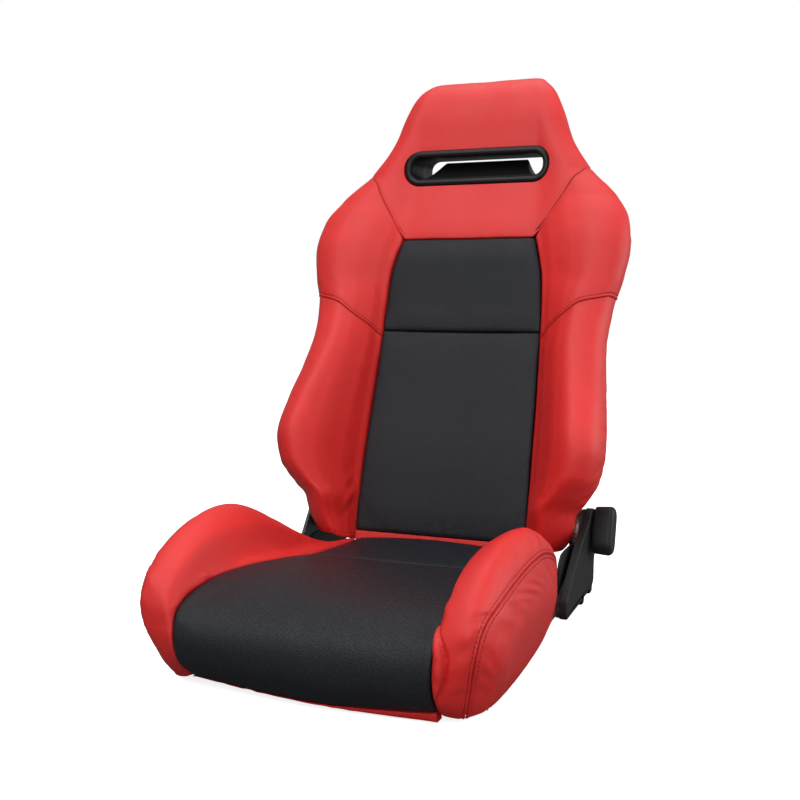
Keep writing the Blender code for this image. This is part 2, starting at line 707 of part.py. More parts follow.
# ------------------------------------------------------------------ harness slot
def slot_point(x, a, b):
    """World place in the slot's own plane: across, up, forward."""
    a -= b * SLOT_RISE
    s = SLOT_S + a * math.cos(SLOT_TILT) - b * math.sin(SLOT_TILT)
    t = SLOT_T + a * math.sin(SLOT_TILT) + b * math.cos(SLOT_TILT)
    return back_point(x, s, t)


def slot_loop(grow, corner_steps=6):
    """Rounded rectangle around the slot, grown outward."""
    half_w, half_h, corner = SLOT_HALF_W + grow, SLOT_HALF_H + grow, SLOT_CORNER + grow
    points = []
    for quadrant, (cx, cy) in enumerate(((1, 1), (-1, 1), (-1, -1), (1, -1))):
        for k in range(corner_steps + 1):
            a = math.pi / 2 * (quadrant + k / corner_steps)
            points.append((cx * (half_w - corner) + corner * math.cos(a),
                           cy * (half_h - corner) + corner * math.sin(a)))
    return points


def slot_ring(name, profile):
    """Ring swept round the slot from a closed (outward, forward) profile."""
    bm = bmesh.new()
    loops = [[bm.verts.new(slot_point(x, a, b)) for x, a in slot_loop(grow)] for grow, b in profile]
    count = len(loops[0])
    for k in range(len(loops)):
        here, there = loops[k], loops[(k + 1) % len(loops)]
        for i in range(count):
            j = (i + 1) % count
            bm.faces.new((here[i], here[j], there[j], there[i]))
    return object_from_bmesh(name, bm)


def slot_prism(name, grow, b0, b1):
    """Solid plug of the slot's outline between two depths."""
    bm = bmesh.new()
    near = [bm.verts.new(slot_point(x, a, b0)) for x, a in slot_loop(grow)]
    far = [bm.verts.new(slot_point(x, a, b1)) for x, a in slot_loop(grow)]
    bm.faces.new(near)
    bm.faces.new(list(reversed(far)))
    for i in range(len(near)):
        j = (i + 1) % len(near)
        bm.faces.new((near[i], far[i], far[j], near[j]))
    return object_from_bmesh(name, bm)


cut(head, slot_prism("cut_slot", SLEEVE_WALL + CLEARANCE, -0.150, 0.080))
cut(head, slot_prism("cut_lip", LIP_WIDTH + CLEARANCE, -0.0075, 0.080))
finish(head, RED, 0.5)
cut(rear, slot_prism("cut_rear", LIP_WIDTH + CLEARANCE, -0.150, 0.010))
finish(rear, RED, 0.5)

finish(slot_ring("slot_bezel", (
    (0.0, -0.0715), (0.0, 0.0060), (0.0020, 0.0090), (0.0055, 0.0105), (0.0095, 0.0090),
    (LIP_WIDTH, 0.0045), (LIP_WIDTH, -0.0070), (SLEEVE_WALL, -0.0070), (SLEEVE_WALL, -0.0715))),
    PLASTIC, 0.35)
finish(slot_ring("slot_bezel_rear", (
    (0.0, -0.0722), (SLEEVE_WALL, -0.0722), (SLEEVE_WALL, -0.0840), (LIP_WIDTH, -0.0840),
    (LIP_WIDTH, -0.1000), (0.0080, -0.1040), (0.0030, -0.1035), (0.0, -0.1000))), PLASTIC, 0.35)

GUIDE_TOP = 0.0105         # top of the moulded strap ramp in the slot
guide = bmesh.new()
floor_a = -SLOT_HALF_H + CLEARANCE
front_l, front_r, top_l, top_r, rear_l, rear_r = (
    guide.verts.new(slot_point(*p)) for p in (
        (-0.088, floor_a, -0.004), (0.088, floor_a, -0.004), (-0.052, GUIDE_TOP, -0.058),
        (0.052, GUIDE_TOP, -0.058), (-0.078, floor_a, -0.063), (0.078, floor_a, -0.063)))
for corners in ((front_l, front_r, top_r, top_l), (top_l, top_r, rear_r, rear_l),
                (front_l, rear_l, rear_r, front_r), (front_l, top_l, rear_l),
                (front_r, rear_r, top_r)):
    guide.faces.new(corners)
finish(object_from_bmesh("slot_strap_guide", guide), PLASTIC, 0.4)

# ------------------------------------------------------------------ backrest frame
hoop = []
corner = 0.060
for k in range(3):
    hoop.append((HOOP_X, HOOP_BOTTOM_S + (HOOP_TOP_S - corner - HOOP_BOTTOM_S) * k / 3))
for k in range(7):
    a = math.pi / 2 * k / 6
    hoop.append((HOOP_X - corner + corner * math.cos(a), HOOP_TOP_S - corner + corner * math.sin(a)))
path = [back_point(x, s, HOOP_T) for x, s in hoop]
path += [back_point(-x, s, HOOP_T) for x, s in reversed(hoop)]
finish(swept_tube("back_frame_hoop", path, HOOP_R, 12), STEEL, 0.45, 0.6)

CROSS_S = 0.055
inner_x = HOOP_X - HOOP_R - CLEARANCE
y, z = back_point(0, CROSS_S, HOOP_T)[1:]
finish(rod_x("back_cross_tube", -inner_x, inner_x, y, z, 0.009, 12), STEEL, 0.45, 0.6)

for number, s0 in enumerate((0.150, 0.240, 0.330), 1):
    zigzag = []
    bends = 14
    for k in range(bends + 1):
        x = -inner_x + 0.0015 + (2 * inner_x - 0.003) * k / bends
        swing = 0.0 if k in (0, bends) else (0.016 if k % 2 else -0.016)
        zigzag.append(back_point(x, s0 + swing, HOOP_T + 0.010))
    finish(swept_tube("back_spring_%d" % number, zigzag, WIRE_R, 4), BRIGHT, 0.35, 0.9)

# ------------------------------------------------------------------ recliner
py = DATUM_Y + PIVOT_Y


def along_back(points):
    """Outline given as (s, t) on the backrest, turned into (y, z)."""
    return [back_point(0.0, s, t)[1:] for s, t in points]


def tangent_plate(top_points):
    """Arm outline: round end about the pivot, then up the backrest."""
    lower = arc(py, PIVOT_Z, ARM_END_R, 163.0, 377.0, 16)
    return lower + along_back(top_points)


for side, tag in ((1, "left"), (-1, "right")):
    arm = plate_x("back_arm_" + tag, tangent_plate(((0.110, -0.032), (0.240, -0.032),
                  (0.240, -0.004), (0.120, 0.012))), side * ARM_X, side * (ARM_X + ARM_THICK))
    cut(arm, rod_x("cut_arm_" + tag, side * 0.15, side * 0.30, py, PIVOT_Z, SHAFT_HOLE_R))
    finish(arm, STEEL, 0.45, 0.6)
    housing = rod_x("recliner_gear_" + tag, side * HOUSING_X, side * (HOUSING_X + HOUSING_THICK),
                    py, PIVOT_Z, HOUSING_R, 28)
    cut(housing, rod_x("cut_gear_" + tag, side * 0.15, side * 0.30, py, PIVOT_Z, SHAFT_HOLE_R))
    finish(housing, STEEL, 0.35, 0.8)

bracket_outline = ([(DATUM_Y + y, z) for y, z in (
    (0.122, 0.044), (0.118, 0.052), (0.119, 0.068), (0.232, 0.108))]
    + arc(py, PIVOT_Z, BRACKET_END_R, 160.0, -8.0, 11)
    + [(DATUM_Y + y, z) for y, z in ((0.318, 0.110), (0.305, 0.092), (0.303, 0.056), (0.296, 0.046))])
cover_outline = ([(DATUM_Y + y, z) for y, z in (
    (0.120, 0.042), (0.116, 0.051), (0.117, 0.070), (0.165, 0.104), (0.205, 0.130))]
    + arc(py, PIVOT_Z, BRACKET_END_R + 0.002, 146.0, -8.0, 11)
    + [(DATUM_Y + y, z) for y, z in ((0.321, 0.110), (0.307, 0.092), (0.305, 0.056),
                                     (0.294, 0.049), (0.292, 0.040), (0.276, 0.040), (0.274, 0.048),
                                     (0.236, 0.046), (0.234, 0.037), (0.220, 0.037), (0.218, 0.045),
                                     (0.190, 0.043))])
for side, tag in ((1, "left"), (-1, "right")):
    bracket = plate_x("recliner_bracket_" + tag, bracket_outline,
                      side * BRACKET_X, side * (BRACKET_X + BRACKET_THICK))
    cut(bracket, rod_x("cut_bracket_" + tag, side * 0.15, side * 0.30, py, PIVOT_Z, SHAFT_HOLE_R))
    for number, (by, bz) in enumerate(BRACKET_BOLTS, 1):
        cut(bracket, rod_x("cut_bolt_%s_%d" % (tag, number), side * 0.15, side * 0.30,
                           DATUM_Y + by, bz, BOLT_R + CLEARANCE))
    finish(bracket, STEEL, 0.45, 0.6)

cover = plate_x("recliner_cover", cover_outline, COVER_X, COVER_X + COVER_THICK)
round_rim(cover, 0.0018, 2)
cut(cover, rod_x("cut_cover", 0.15, 0.30, py, PIVOT_Z, SHAFT_HOLE_R + 0.001))
for number, (by, bz) in enumerate(BRACKET_BOLTS, 1):
    cut(cover, rod_x("cut_pocket_%d" % number, COVER_X - 0.002, COVER_X + 0.004,
                     DATUM_Y + by, bz, BOLT_HEAD_R + 0.0006))
finish(cover, PLASTIC, 0.5)

shaft_end = BRACKET_X + BRACKET_THICK
finish(rod_x("recline_shaft", -shaft_end, KNOB_X - CLEARANCE, py, PIVOT_Z, SHAFT_R, 16), STEEL, 0.4, 0.7)

knob_outline = []
for cy, start in ((1, 0.0), (-1, 180.0)):
    knob_outline += arc(0.0, cy * (KNOB_HALF_LENGTH - KNOB_HALF_WIDTH), KNOB_HALF_WIDTH,
                        start, start + 180.0, 9)
knob_outline = [(py + y * math.cos(TILT) + z * math.sin(TILT),
                 PIVOT_Z - y * math.sin(TILT) + z * math.cos(TILT)) for y, z in knob_outline]
knob = plate_x("recline_knob", knob_outline, KNOB_X, KNOB_X + KNOB_THICK)
round_rim(knob, 0.006, 3)
finish(knob, PLASTIC, 0.45)

# ------------------------------------------------------------------ base
for side, tag in ((1, "left"), (-1, "right")):
    lo, hi, wall = MEMBER_X0, MEMBER_X1, MEMBER_WALL
    outline = ((lo, 0.0), (hi, 0.0), (hi, MEMBER_TOP), (lo, MEMBER_TOP), (lo, MEMBER_TOP - wall),
               (hi - wall, MEMBER_TOP - wall), (hi - wall, wall), (lo, wall))
    bm = bmesh.new()
    near = [bm.verts.new((side * x, DATUM_Y + MEMBER_Y0, z)) for x, z in outline]
    face = bm.faces.new(near)
    grown = bmesh.ops.extrude_face_region(bm, geom=[face])
    moved = [g for g in grown["geom"] if isinstance(g, bmesh.types.BMVert)]
    bmesh.ops.translate(bm, vec=(0.0, MEMBER_Y1 - MEMBER_Y0, 0.0), verts=moved)
    member = object_from_bmesh("base_side_member_" + tag, bm)
    for number, hole_y in enumerate(MOUNT_HOLE_YS, 1):
        cut(member, rod_z("cut_mount_%s_%d" % (tag, number), side * (lo + hi) / 2,
                          DATUM_Y + hole_y, -0.01, 0.01, MOUNT_HOLE_R))
    for number, (by, bz) in enumerate(BRACKET_BOLTS, 1):
        cut(member, rod_x("cut_side_%s_%d" % (tag, number), side * (hi - 0.01), side * (hi + 0.01),
                          DATUM_Y + by, bz, BOLT_R + CLEARANCE))
    finish(member, STEEL, 0.5, 0.5)
    for number, (by, bz) in enumerate(BRACKET_BOLTS, 1):
        spacer = rod_x("bracket_spacer_%s_%d" % (tag, number), side * (hi + CLEARANCE),
                       side * (BRACKET_X - CLEARANCE), DATUM_Y + by, bz, 0.008, 14)
        cut(spacer, rod_x("cut_spacer_%s_%d" % (tag, number), side * 0.15, side * 0.30,
                          DATUM_Y + by, bz, BOLT_R + CLEARANCE))
        finish(spacer, STEEL, 0.4, 0.7)
        bm = bmesh.new()
        profile = ((0.0, hi - 0.010), (BOLT_R, hi - 0.010), (BOLT_R, COVER_X),
                   (BOLT_HEAD_R, COVER_X), (BOLT_HEAD_R, COVER_X + 0.0032), (0.0, COVER_X + 0.0032))
        rings = []
        for radius, x in profile:
            if radius == 0.0:
                rings.append([bm.verts.new((side * x, DATUM_Y + by, bz))])
                continue
            ring = []
            for k in range(12):
                a = 2 * math.pi * k / 12
                ring.append(bm.verts.new((side * x, DATUM_Y + by + radius * math.cos(a),
                                          bz + radius * math.sin(a))))
            rings.append(ring)
        for here, there in zip(rings, rings[1:]):
            for k in range(12):
                m = (k + 1) % 12
                if len(here) == 1:
                    bm.faces.new((here[0], there[k], there[m]))
                elif len(there) == 1:
                    bm.faces.new((here[k], there[0], here[m]))
                else:
                    bm.faces.new((here[k], there[k], there[m], here[m]))
        finish(object_from_bmesh("bracket_bolt_%s_%d" % (tag, number), bm), BRIGHT, 0.3, 0.9)

span = MEMBER_X1 - MEMBER_WALL - CLEARANCE
for name, tube_y in (("base_front_tube", FRONT_TUBE_Y), ("base_rear_tube", REAR_TUBE_Y)):
    finish(rod_x(name, -span, span, DATUM_Y + tube_y, CROSS_TUBE_Z, CROSS_TUBE_R, 16), STEEL, 0.45, 0.6)

pan_x = MEMBER_X1 - 0.006
finish(box("seat_pan", (-pan_x, DATUM_Y - 0.180, MEMBER_TOP + CLEARANCE),
           (pan_x, DATUM_Y + 0.215, MEMBER_TOP + CLEARANCE + 0.0025)), STEEL, 0.5, 0.5)

# ------------------------------------------------------------------ joint axes
pivot = Vector((0.0, DATUM_Y + PIVOT_Y, PIVOT_Z))
axis_marker = bpy.data.objects.new("recline_axis", None)
axis_marker.location = pivot
axis_marker.empty_display_size = 0.05
seat.objects.link(axis_marker)
bpy.context.view_layer.update()
for obj in list(seat.objects):
    if obj.name.startswith(RECLINING) and obj.type == "MESH":
        obj.data.transform(Matrix.Translation(-pivot))
        obj.parent = axis_marker
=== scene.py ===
"""Looks of a reclining bucket seat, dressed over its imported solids.

Metres, +Z up; the sitter faces -Y and +X is the sitter's left, where the recline
knob is.  Every sewn cover panel is a surface of two parameters, u across and v
along, with foam behind it.  Covers are swelled by a cloth simulation, and seams,
tucks, wrinkles and stitches are laid on afterwards.
"""
import math

import bpy
import numpy as np
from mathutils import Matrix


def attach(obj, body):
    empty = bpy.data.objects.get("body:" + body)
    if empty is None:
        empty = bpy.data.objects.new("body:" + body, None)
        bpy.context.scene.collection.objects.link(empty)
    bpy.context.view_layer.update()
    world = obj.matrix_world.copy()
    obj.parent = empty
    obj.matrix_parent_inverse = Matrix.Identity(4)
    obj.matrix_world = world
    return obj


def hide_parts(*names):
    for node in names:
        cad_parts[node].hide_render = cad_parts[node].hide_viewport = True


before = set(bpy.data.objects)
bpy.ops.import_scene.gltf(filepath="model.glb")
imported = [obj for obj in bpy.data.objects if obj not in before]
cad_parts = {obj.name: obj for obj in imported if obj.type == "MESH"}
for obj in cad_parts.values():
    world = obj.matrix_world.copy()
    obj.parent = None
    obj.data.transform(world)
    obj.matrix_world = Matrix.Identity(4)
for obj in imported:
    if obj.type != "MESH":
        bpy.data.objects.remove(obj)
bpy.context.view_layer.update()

bl_info = {
    "name": "Bucket Seat Covers",
    "version": (1, 0, 0),
    "blender": (4, 5, 0),
    "location": "3D View > Sidebar > Seat",
    "description": "Sewn covers, stitching, mouldings and steelwork of a reclining bucket seat",
    "category": "Add Mesh",
}

# ------------------------------------------------------------------ shape of the solids
DATUM_Y = -0.156           # fore-aft place of the cushion's own zero
TILT = math.radians(17.0)  # backrest angle from upright
BACK_Y = 0.295             # backrest zero
BACK_Z = 0.148
PIVOT_Y = DATUM_Y + 0.295  # recline axis
PIVOT_Z = 0.140

SLOT_S = 0.6085            # harness slot, height up the backrest
SLOT_T = 0.0205
SLOT_TILT = math.radians(10.0)
SLOT_HALF_W = 0.1200
SLOT_HALF_H = 0.0190
SLOT_CORNER = 0.0170
SLOT_RISE = 0.17
SLEEVE_WALL = 0.0030
LIP_WIDTH = 0.0125
GUIDE_TOP = 0.0148

# Height s, half width, ridge height forward, ridge inset, centre forward, panel edge x
BACK_ROWS = (
    (-0.064, 0.201, 0.056, 0.031, 0.026, 0.146),
    (-0.020, 0.219, 0.084, 0.033, 0.028, 0.147),
    (0.005, 0.223, 0.101, 0.034, 0.029, 0.147),
    (0.030, 0.245, 0.117, 0.035, 0.029, 0.147),
    (0.060, 0.267, 0.134, 0.037, 0.029, 0.147),
    (0.105, 0.276, 0.143, 0.039, 0.028, 0.146),
    (0.165, 0.271, 0.128, 0.041, 0.025, 0.145),
    (0.225, 0.263, 0.106, 0.043, 0.023, 0.143),
    (0.290, 0.257, 0.085, 0.046, 0.022, 0.141),
    (0.345, 0.261, 0.072, 0.048, 0.023, 0.139),
    (0.400, 0.274, 0.069, 0.050, 0.027, 0.136),
    (0.450, 0.281, 0.069, 0.054, 0.031, 0.126),
    (0.500, 0.274, 0.061, 0.056, 0.029, 0.114),
    (0.545, 0.250, 0.047, 0.052, 0.024, 0.112),
    (0.598, 0.202, 0.034, 0.042, 0.019, 0.110),
    (0.655, 0.165, 0.032, 0.034, 0.027, 0.106),
    (0.710, 0.144, 0.034, 0.030, 0.034, 0.098),
    (0.745, 0.127, 0.033, 0.026, 0.033, 0.086),
    (0.780, 0.098, 0.031, 0.020, 0.031, 0.066),
)
REAR_ROWS = ((-0.064, -0.085), (0.300, -0.085), (0.450, -0.080), (0.600, -0.068),
             (0.700, -0.060), (0.780, -0.056))
HEAD_DOME_S = 0.728        # the head starts to roll over here
HEAD_END_S = 0.7792
HEAD_DOME_LEN = 0.0520
HEAD_MID_T = -0.012
PANEL_SEAM_S = 0.308
PANEL_TOP_S = 0.473
HEM_TOP_S = -0.043
BACK_BOTTOM_S = -0.058
WING_TOP_S = 0.596
GUSSET_U = 7.2
REAR_U = 9.3
HIP_WIDTH = 0.008          # extra half width of the back bolsters at the hips
HIP_REACH = 0.045
SIDE_STEPS = (0.028, 0.051, 0.080)   # side stations of the backrest, inward of its half width
SIDE_WALL = 0.020
REAR_PANEL = 0.0065
REAR_PANEL_GAP = 0.0020
# Level of the foam bed behind the front blocks, its fall and the heights over which it falls
BED_OUTER, BED_OUTER_FALL, BED_OUTER_HEIGHTS = 0.036, 0.024, (0.25, 0.35)
BED_MIDDLE, BED_MIDDLE_FALL, BED_MIDDLE_HEIGHTS = 0.010, 0.014, (0.010, 0.060)
BED_REAR_STEP = 0.006
SOLID_HEIGHTS = (0.495, 0.560)   # the foam turns solid over these heights
SOLID_MARGIN = 0.004
GUSSET_SEWN, GUSSET_FOAM, GUSSET_LEAN = 0.0010, 0.0100, 0.004
REAR_RIM, REAR_INSET = 0.0015, 0.0025    # thickness of the rear panel's rim, inset of its inner skin

# Cushion lines, (x, y, z) from the front hem over the lip to the rear end
CUSHION_LINES = (
    ((0.000, -0.231, 0.019), (0.000, -0.249, 0.048), (0.000, -0.248, 0.084),
     (0.000, -0.222, 0.110), (0.000, -0.165, 0.126), (0.000, -0.090, 0.130),
     (0.000, 0.000, 0.123), (0.000, 0.080, 0.114), (0.000, 0.160, 0.111),
     (0.000, 0.236, 0.113)),
    ((0.163, -0.216, 0.017), (0.168, -0.246, 0.046), (0.170, -0.252, 0.086),
     (0.170, -0.229, 0.117), (0.169, -0.168, 0.136), (0.167, -0.090, 0.139),
     (0.165, 0.000, 0.130), (0.162, 0.080, 0.118), (0.158, 0.160, 0.110),
     (0.153, 0.236, 0.103)),
    ((0.181, -0.213, 0.011), (0.187, -0.239, 0.044), (0.189, -0.251, 0.090),
     (0.189, -0.241, 0.132), (0.188, -0.190, 0.172), (0.187, -0.106, 0.188),
     (0.187, -0.010, 0.178), (0.184, 0.075, 0.149), (0.179, 0.160, 0.116),
     (0.172, 0.238, 0.086)),
    ((0.196, -0.207, 0.008), (0.208, -0.231, 0.044), (0.215, -0.250, 0.094),
     (0.218, -0.240, 0.143), (0.218, -0.186, 0.184), (0.220, -0.108, 0.206),
     (0.222, -0.018, 0.203), (0.219, 0.074, 0.168), (0.207, 0.160, 0.118),
     (0.194, 0.240, 0.083)),
    ((0.202, -0.201, 0.0075), (0.2135, -0.223, 0.044), (0.226, -0.241, 0.093),
     (0.234, -0.229, 0.1325), (0.243, -0.183, 0.156), (0.247, -0.106, 0.170),
     (0.2475, -0.017, 0.1705), (0.244, 0.062, 0.148), (0.2245, 0.158, 0.104),
     (0.209, 0.242, 0.084)),
    ((0.215, -0.172, 0.006), (0.229, -0.180, 0.040), (0.245, -0.189, 0.075),
     (0.250, -0.178, 0.099), (0.252, -0.146, 0.113), (0.253, -0.090, 0.119),
     (0.251, -0.012, 0.117), (0.246, 0.054, 0.102), (0.2255, 0.152, 0.074),
     (0.212, 0.244, 0.062)),
    ((0.2180, -0.152, 0.005), (0.2190, -0.140, 0.005), (0.2200, -0.124, 0.005),
     (0.2210, -0.102, 0.005), (0.2220, -0.075, 0.006), (0.2225, -0.035, 0.007),
     (0.2220, 0.020, 0.009), (0.2195, 0.085, 0.012), (0.2150, 0.160, 0.018),
     (0.2100, 0.246, 0.024)),
)
SEAM_SHARE = ((0.0, 1.30), (2.0, 1.22), (3.0, 1.15), (4.0, 1.00), (5.0, 0.87), (6.0, 0.79),
              (7.0, 0.75), (8.0, 0.76), (9.0, 0.80))
FRONT_SAG = 0.0085
SAG_MIDDLE, SAG_WIDTH, SAG_END = 0.10, 0.62, 1.3   # where it is deepest, how wide it is, where it ends
CROSS_SEAM_V = 7.0
SIDE_END_V = 8.30
FRONT_FOAM = 0.024
UNDERCUT = 0.018
FLOOR_V = 1.4
FLOOR_Z = 0.071
SEWN_THICK = 0.0012        # side panel at its sewn seam
SIDE_FOAM = 0.0088
HEM_RIGHT, HEM_GROWTH = 0.0014, 0.0105   # height of the front hem at the right, and its growth
HEM_FOAM = 0.016
HEM_BACK, HEM_SLOPE, HEM_DROP = 0.001, 0.003, 0.0006   # how far back, how sloped and how low it hangs
REAR_END_V = 9.0


# ------------------------------------------------------------------ settings
def length(label, text, value, **more):
    """A length property in metres, shown to a tenth of a millimetre."""
    return bpy.props.FloatProperty(name=label, description=text, default=value,
                                   unit="LENGTH", precision=4, **more)


def colour(label, text, value):
    """A linear colour property."""
    return bpy.props.FloatVectorProperty(name=label, description=text, default=value,
                                         subtype="COLOR", size=3, min=0.0, max=1.0)


def factor(label, text, value, low=0.0, high=1.0):
    """A plain share or strength."""
    return bpy.props.FloatProperty(name=label, description=text, default=value, min=low, max=high)


class SeatCoverSettings(bpy.types.PropertyGroup):
    """Covers, seams and thread."""
    red: colour("Red", "Colour of the bolster covers", (0.600, 0.018, 0.016))
    black: colour("Black", "Colour of the centre covers", (0.0100, 0.0122, 0.0165))
    thread: colour("Thread", "Colour of the thread on the red covers", (0.085, 0.004, 0.004))
    backing: colour("Backing", "Felt on the hidden side of the foam", (0.030, 0.030, 0.031))
    mesh_step: length("Mesh step", "Distance between the lines of a cover's mesh", 0.0030)
    sim_step: length("Simulation step", "Mesh step of the simulated covers", 0.0085)
    swell: length("Swell", "Most that the foam may push a cover out", 0.0060)
    crown: length("Crown", "How far a stuffed cover stands up between its seams", 0.0016)
    slack: factor("Slack", "Share of the simulated swelling and wrinkling that shows", 0.22)
    tuck_depth: length("Tuck depth", "How far a sewn seam is drawn in", 0.0042)
    tuck_width: length("Tuck width", "Width over which a cover rolls into a seam", 0.0085)
    stitch_pitch: length("Stitch pitch", "Distance from stitch to stitch", 0.0062)
    stitch_length: length("Stitch length", "Length of thread that shows", 0.0044)
    thread_radius: length("Thread radius", "Half the thickness of the thread", 0.00042)
    stitch_offset: length("Stitch offset", "Distance of a row of stitches from its seam", 0.0052)
    grain: length("Grain", "Size of a pebble of the leather grain", 0.0012)
    perforation: length("Perforation pitch", "Distance between holes of the centre covers", 0.0047)


class SeatHardwareSettings(bpy.types.PropertyGroup):
    """Mouldings and metal."""
    plastic: colour("Plastic", "Black moulded parts", (0.0095, 0.0092, 0.0098))
    steel_paint: colour("Paint", "Satin paint of the steel parts", (0.020, 0.020, 0.022))
    bare_steel: colour("Bare steel", "Steel where the paint is rubbed off", (0.42, 0.41, 0.40))
    zinc: colour("Zinc", "Plated springs, gears and bolts", (0.56, 0.56, 0.54))
    lip_height: length("Bezel lip", "Height of the slot bezel over its rim", 0.0105)
    knob_dome: length("Knob dome", "Rounding of the knob's outer face", 0.0085)


class SeatStageSettings(bpy.types.PropertyGroup):
    """Floor, lamps and camera."""
    floor: colour("Floor", "Colour of the studio floor", (0.93, 0.93, 0.93))
    lens: bpy.props.FloatProperty(name="Lens", description="Focal length", default=48.6,
                                  subtype="DISTANCE_CAMERA")
    camera: bpy.props.FloatVectorProperty(name="Camera", description="Place of the camera",
                                          default=(0.594, -1.5429, 0.5148), subtype="TRANSLATION",
                                          unit="LENGTH")
    yaw: bpy.props.FloatProperty(name="Yaw", description="Turn of the camera to the seat's right",
                                 default=math.radians(21.89), subtype="ANGLE")
    pitch: bpy.props.FloatProperty(name="Pitch", description="Downward turn of the camera",
                                   default=math.radians(5.66), subtype="ANGLE")
    key: factor("Key", "Power of the key lamp in watts", 58.0, 0.0, 500.0)
    top: factor("Top", "Power of the lamp overhead in watts", 40.0, 0.0, 500.0)
    rim: factor("Rim", "Power of the lamp beside the seat in watts", 42.0, 0.0, 500.0)
    fill: factor("Fill", "Power of the low front lamp in watts", 38.0, 0.0, 500.0)
    sky: factor("Sky", "Strength of the surrounding light", 0.33, 0.0, 5.0)


# ------------------------------------------------------------------ curves and skins
def monotone(rows, keys, key):
    """Values at a key on a cubic through rows; its slopes are harmonic means, so it never overshoots."""
    key = np.clip(key, keys[0], keys[-1])
    span = np.diff(keys).reshape((-1,) + (1,) * (rows.ndim - 1))
    rise = np.diff(rows, axis=0) / span
    same = rise[:-1] * rise[1:] > 0
    total = np.where(same, rise[:-1] + rise[1:], 1.0)
    middle = np.where(same, 2 * rise[:-1] * rise[1:] / total, 0.0)
    slope = np.concatenate([rise[:1], middle, rise[-1:]])
    i = np.clip(np.searchsorted(keys, key, side="right") - 1, 0, len(keys) - 2)
    t = ((key - keys[i]) / (keys[i + 1] - keys[i]))[..., None]
    step = (keys[i + 1] - keys[i])[..., None]

    def pick(table, index):
        if table.ndim == 2:
            return table[index]
        return np.take_along_axis(table, index[None, ..., None], axis=0)[0]

    return (pick(rows, i) * (1 + 2 * t) * (1 - t) ** 2 + pick(slope, i) * step * t * (1 - t) ** 2
            + pick(rows, i + 1) * t * t * (3 - 2 * t) + pick(slope, i + 1) * step * t * t * (t - 1))


def table_at(rows, key):
    """Columns of a table at a key, one array each."""
    table = np.asarray(rows, float)
    values = monotone(table[:, 1:], table[:, 0], np.asarray(key, float))
    return [values[..., k] for k in range(values.shape[-1])]


def half_section(points, place, closed):
    """Point at a station of a half section, mirrored past its first and, if closed, its last station."""
    flip = np.array([-1.0] + [1.0] * (points.shape[-1] - 1))
    rows = [points[1:2] * flip, points]
    if closed:
        rows.append(points[-2:-1] * flip)
    rows = np.concatenate(rows)
    return monotone(rows, np.arange(-1.0, len(rows) - 1.0), place)


def through(line, place):
    """Catmull-Rom curve through evenly spaced points, at a place counted in points."""
    ends = np.vstack([2 * line[0] - line[1], line, 2 * line[-1] - line[-2]])
    place = np.clip(place, 0.0, len(line) - 1.0)
    i = np.minimum(place.astype(int), len(line) - 2)
    f = (place - i)[..., None]
    a, b, c, d = (ends[i + k] for k in range(4))
    return 0.5 * (2 * b + (c - a) * f + (2 * a - 5 * b + 4 * c - d) * f ** 2
                  + (3 * b - a - 3 * c + d) * f ** 3)


def ramp(value, low, high):
    """Smooth step from 0 at low to 1 at high."""
    t = np.clip((value - low) / (high - low), 0.0, 1.0)
    return t * t * (3 - 2 * t)


def bump(value, middle, width):
    """Bell of height 1 about a middle."""
    return np.exp(-((value - middle) / width) ** 2)


def back_place(x, s, t):
    """World place of a point across, up and forward on the tilted backrest."""
    y = DATUM_Y + BACK_Y + s * math.sin(TILT) - t * math.cos(TILT)
    z = BACK_Z + s * math.cos(TILT) + t * math.sin(TILT)
    return np.stack(np.broadcast_arrays(x, y, z), axis=-1)


def side_taper(w):
    """Share of the full side taper kept where the backrest is narrow."""
    return np.minimum(1.0, w / 0.26) ** 2


def back_section(u, s):
    """Section point (x, t): 13 stations from the centre front over the ridge round to the centre rear."""
    w, ridge, inset, centre, edge = table_at(BACK_ROWS, s)
    rear = table_at(REAR_ROWS, s)[0]
    xr = w - inset
    xe = np.minimum(edge, xr - 0.012)
    te = centre + 0.004 * (1 - ramp(s, 0.40, 0.50))
    deep = ridge - rear
    zero = np.zeros_like(w)
    hip = w + HIP_WIDTH * bump(s, 0.0, HIP_REACH)
    sides = [w - step * side_taper(w) for step in SIDE_STEPS]
    x = (zero, xe * 0.55, xe, xe + 0.30 * (xr - xe), xe + 0.66 * (xr - xe), xr,
         xr + 0.72 * (w - xr), hip, *sides, w * 0.45, zero)
    t = (centre, centre + 0.0015, te, te + 0.36 * (ridge - te), te + 0.80 * (ridge - te), ridge,
         ridge - 0.07 * deep, ridge - 0.25 * deep, ridge - 0.58 * deep, rear + 0.12 * deep,
         rear, rear - 0.004, rear - 0.006)
    points = np.stack([np.stack(x), np.stack(t)], axis=-1)
    found = half_section(points, u, True)
    return found[..., 0], found[..., 1]


def squeeze(s):
    """Quarter circle: share of the head's depth left at a height, a tenth of it at its top."""
    part = np.clip((s - HEAD_DOME_S) / HEAD_DOME_LEN, 0.0, 0.995)
    return np.sqrt(1 - part * part)


def roll_over(s, t):
    """Front and rear of the head brought together over its top."""
    return HEAD_MID_T + (t - HEAD_MID_T) * squeeze(s)


def rear_depth(s, depth):
    """Depth inside the rear panel, never squeezed below a third."""
    return depth * np.maximum(squeeze(s), 0.35)


def back_skin(u, s):
    """Outer skin of the backrest: its section at height s, rolled over at the head."""
    x, t = back_section(np.abs(u), s)
    return back_place(np.copysign(x, u), s, roll_over(s, t))


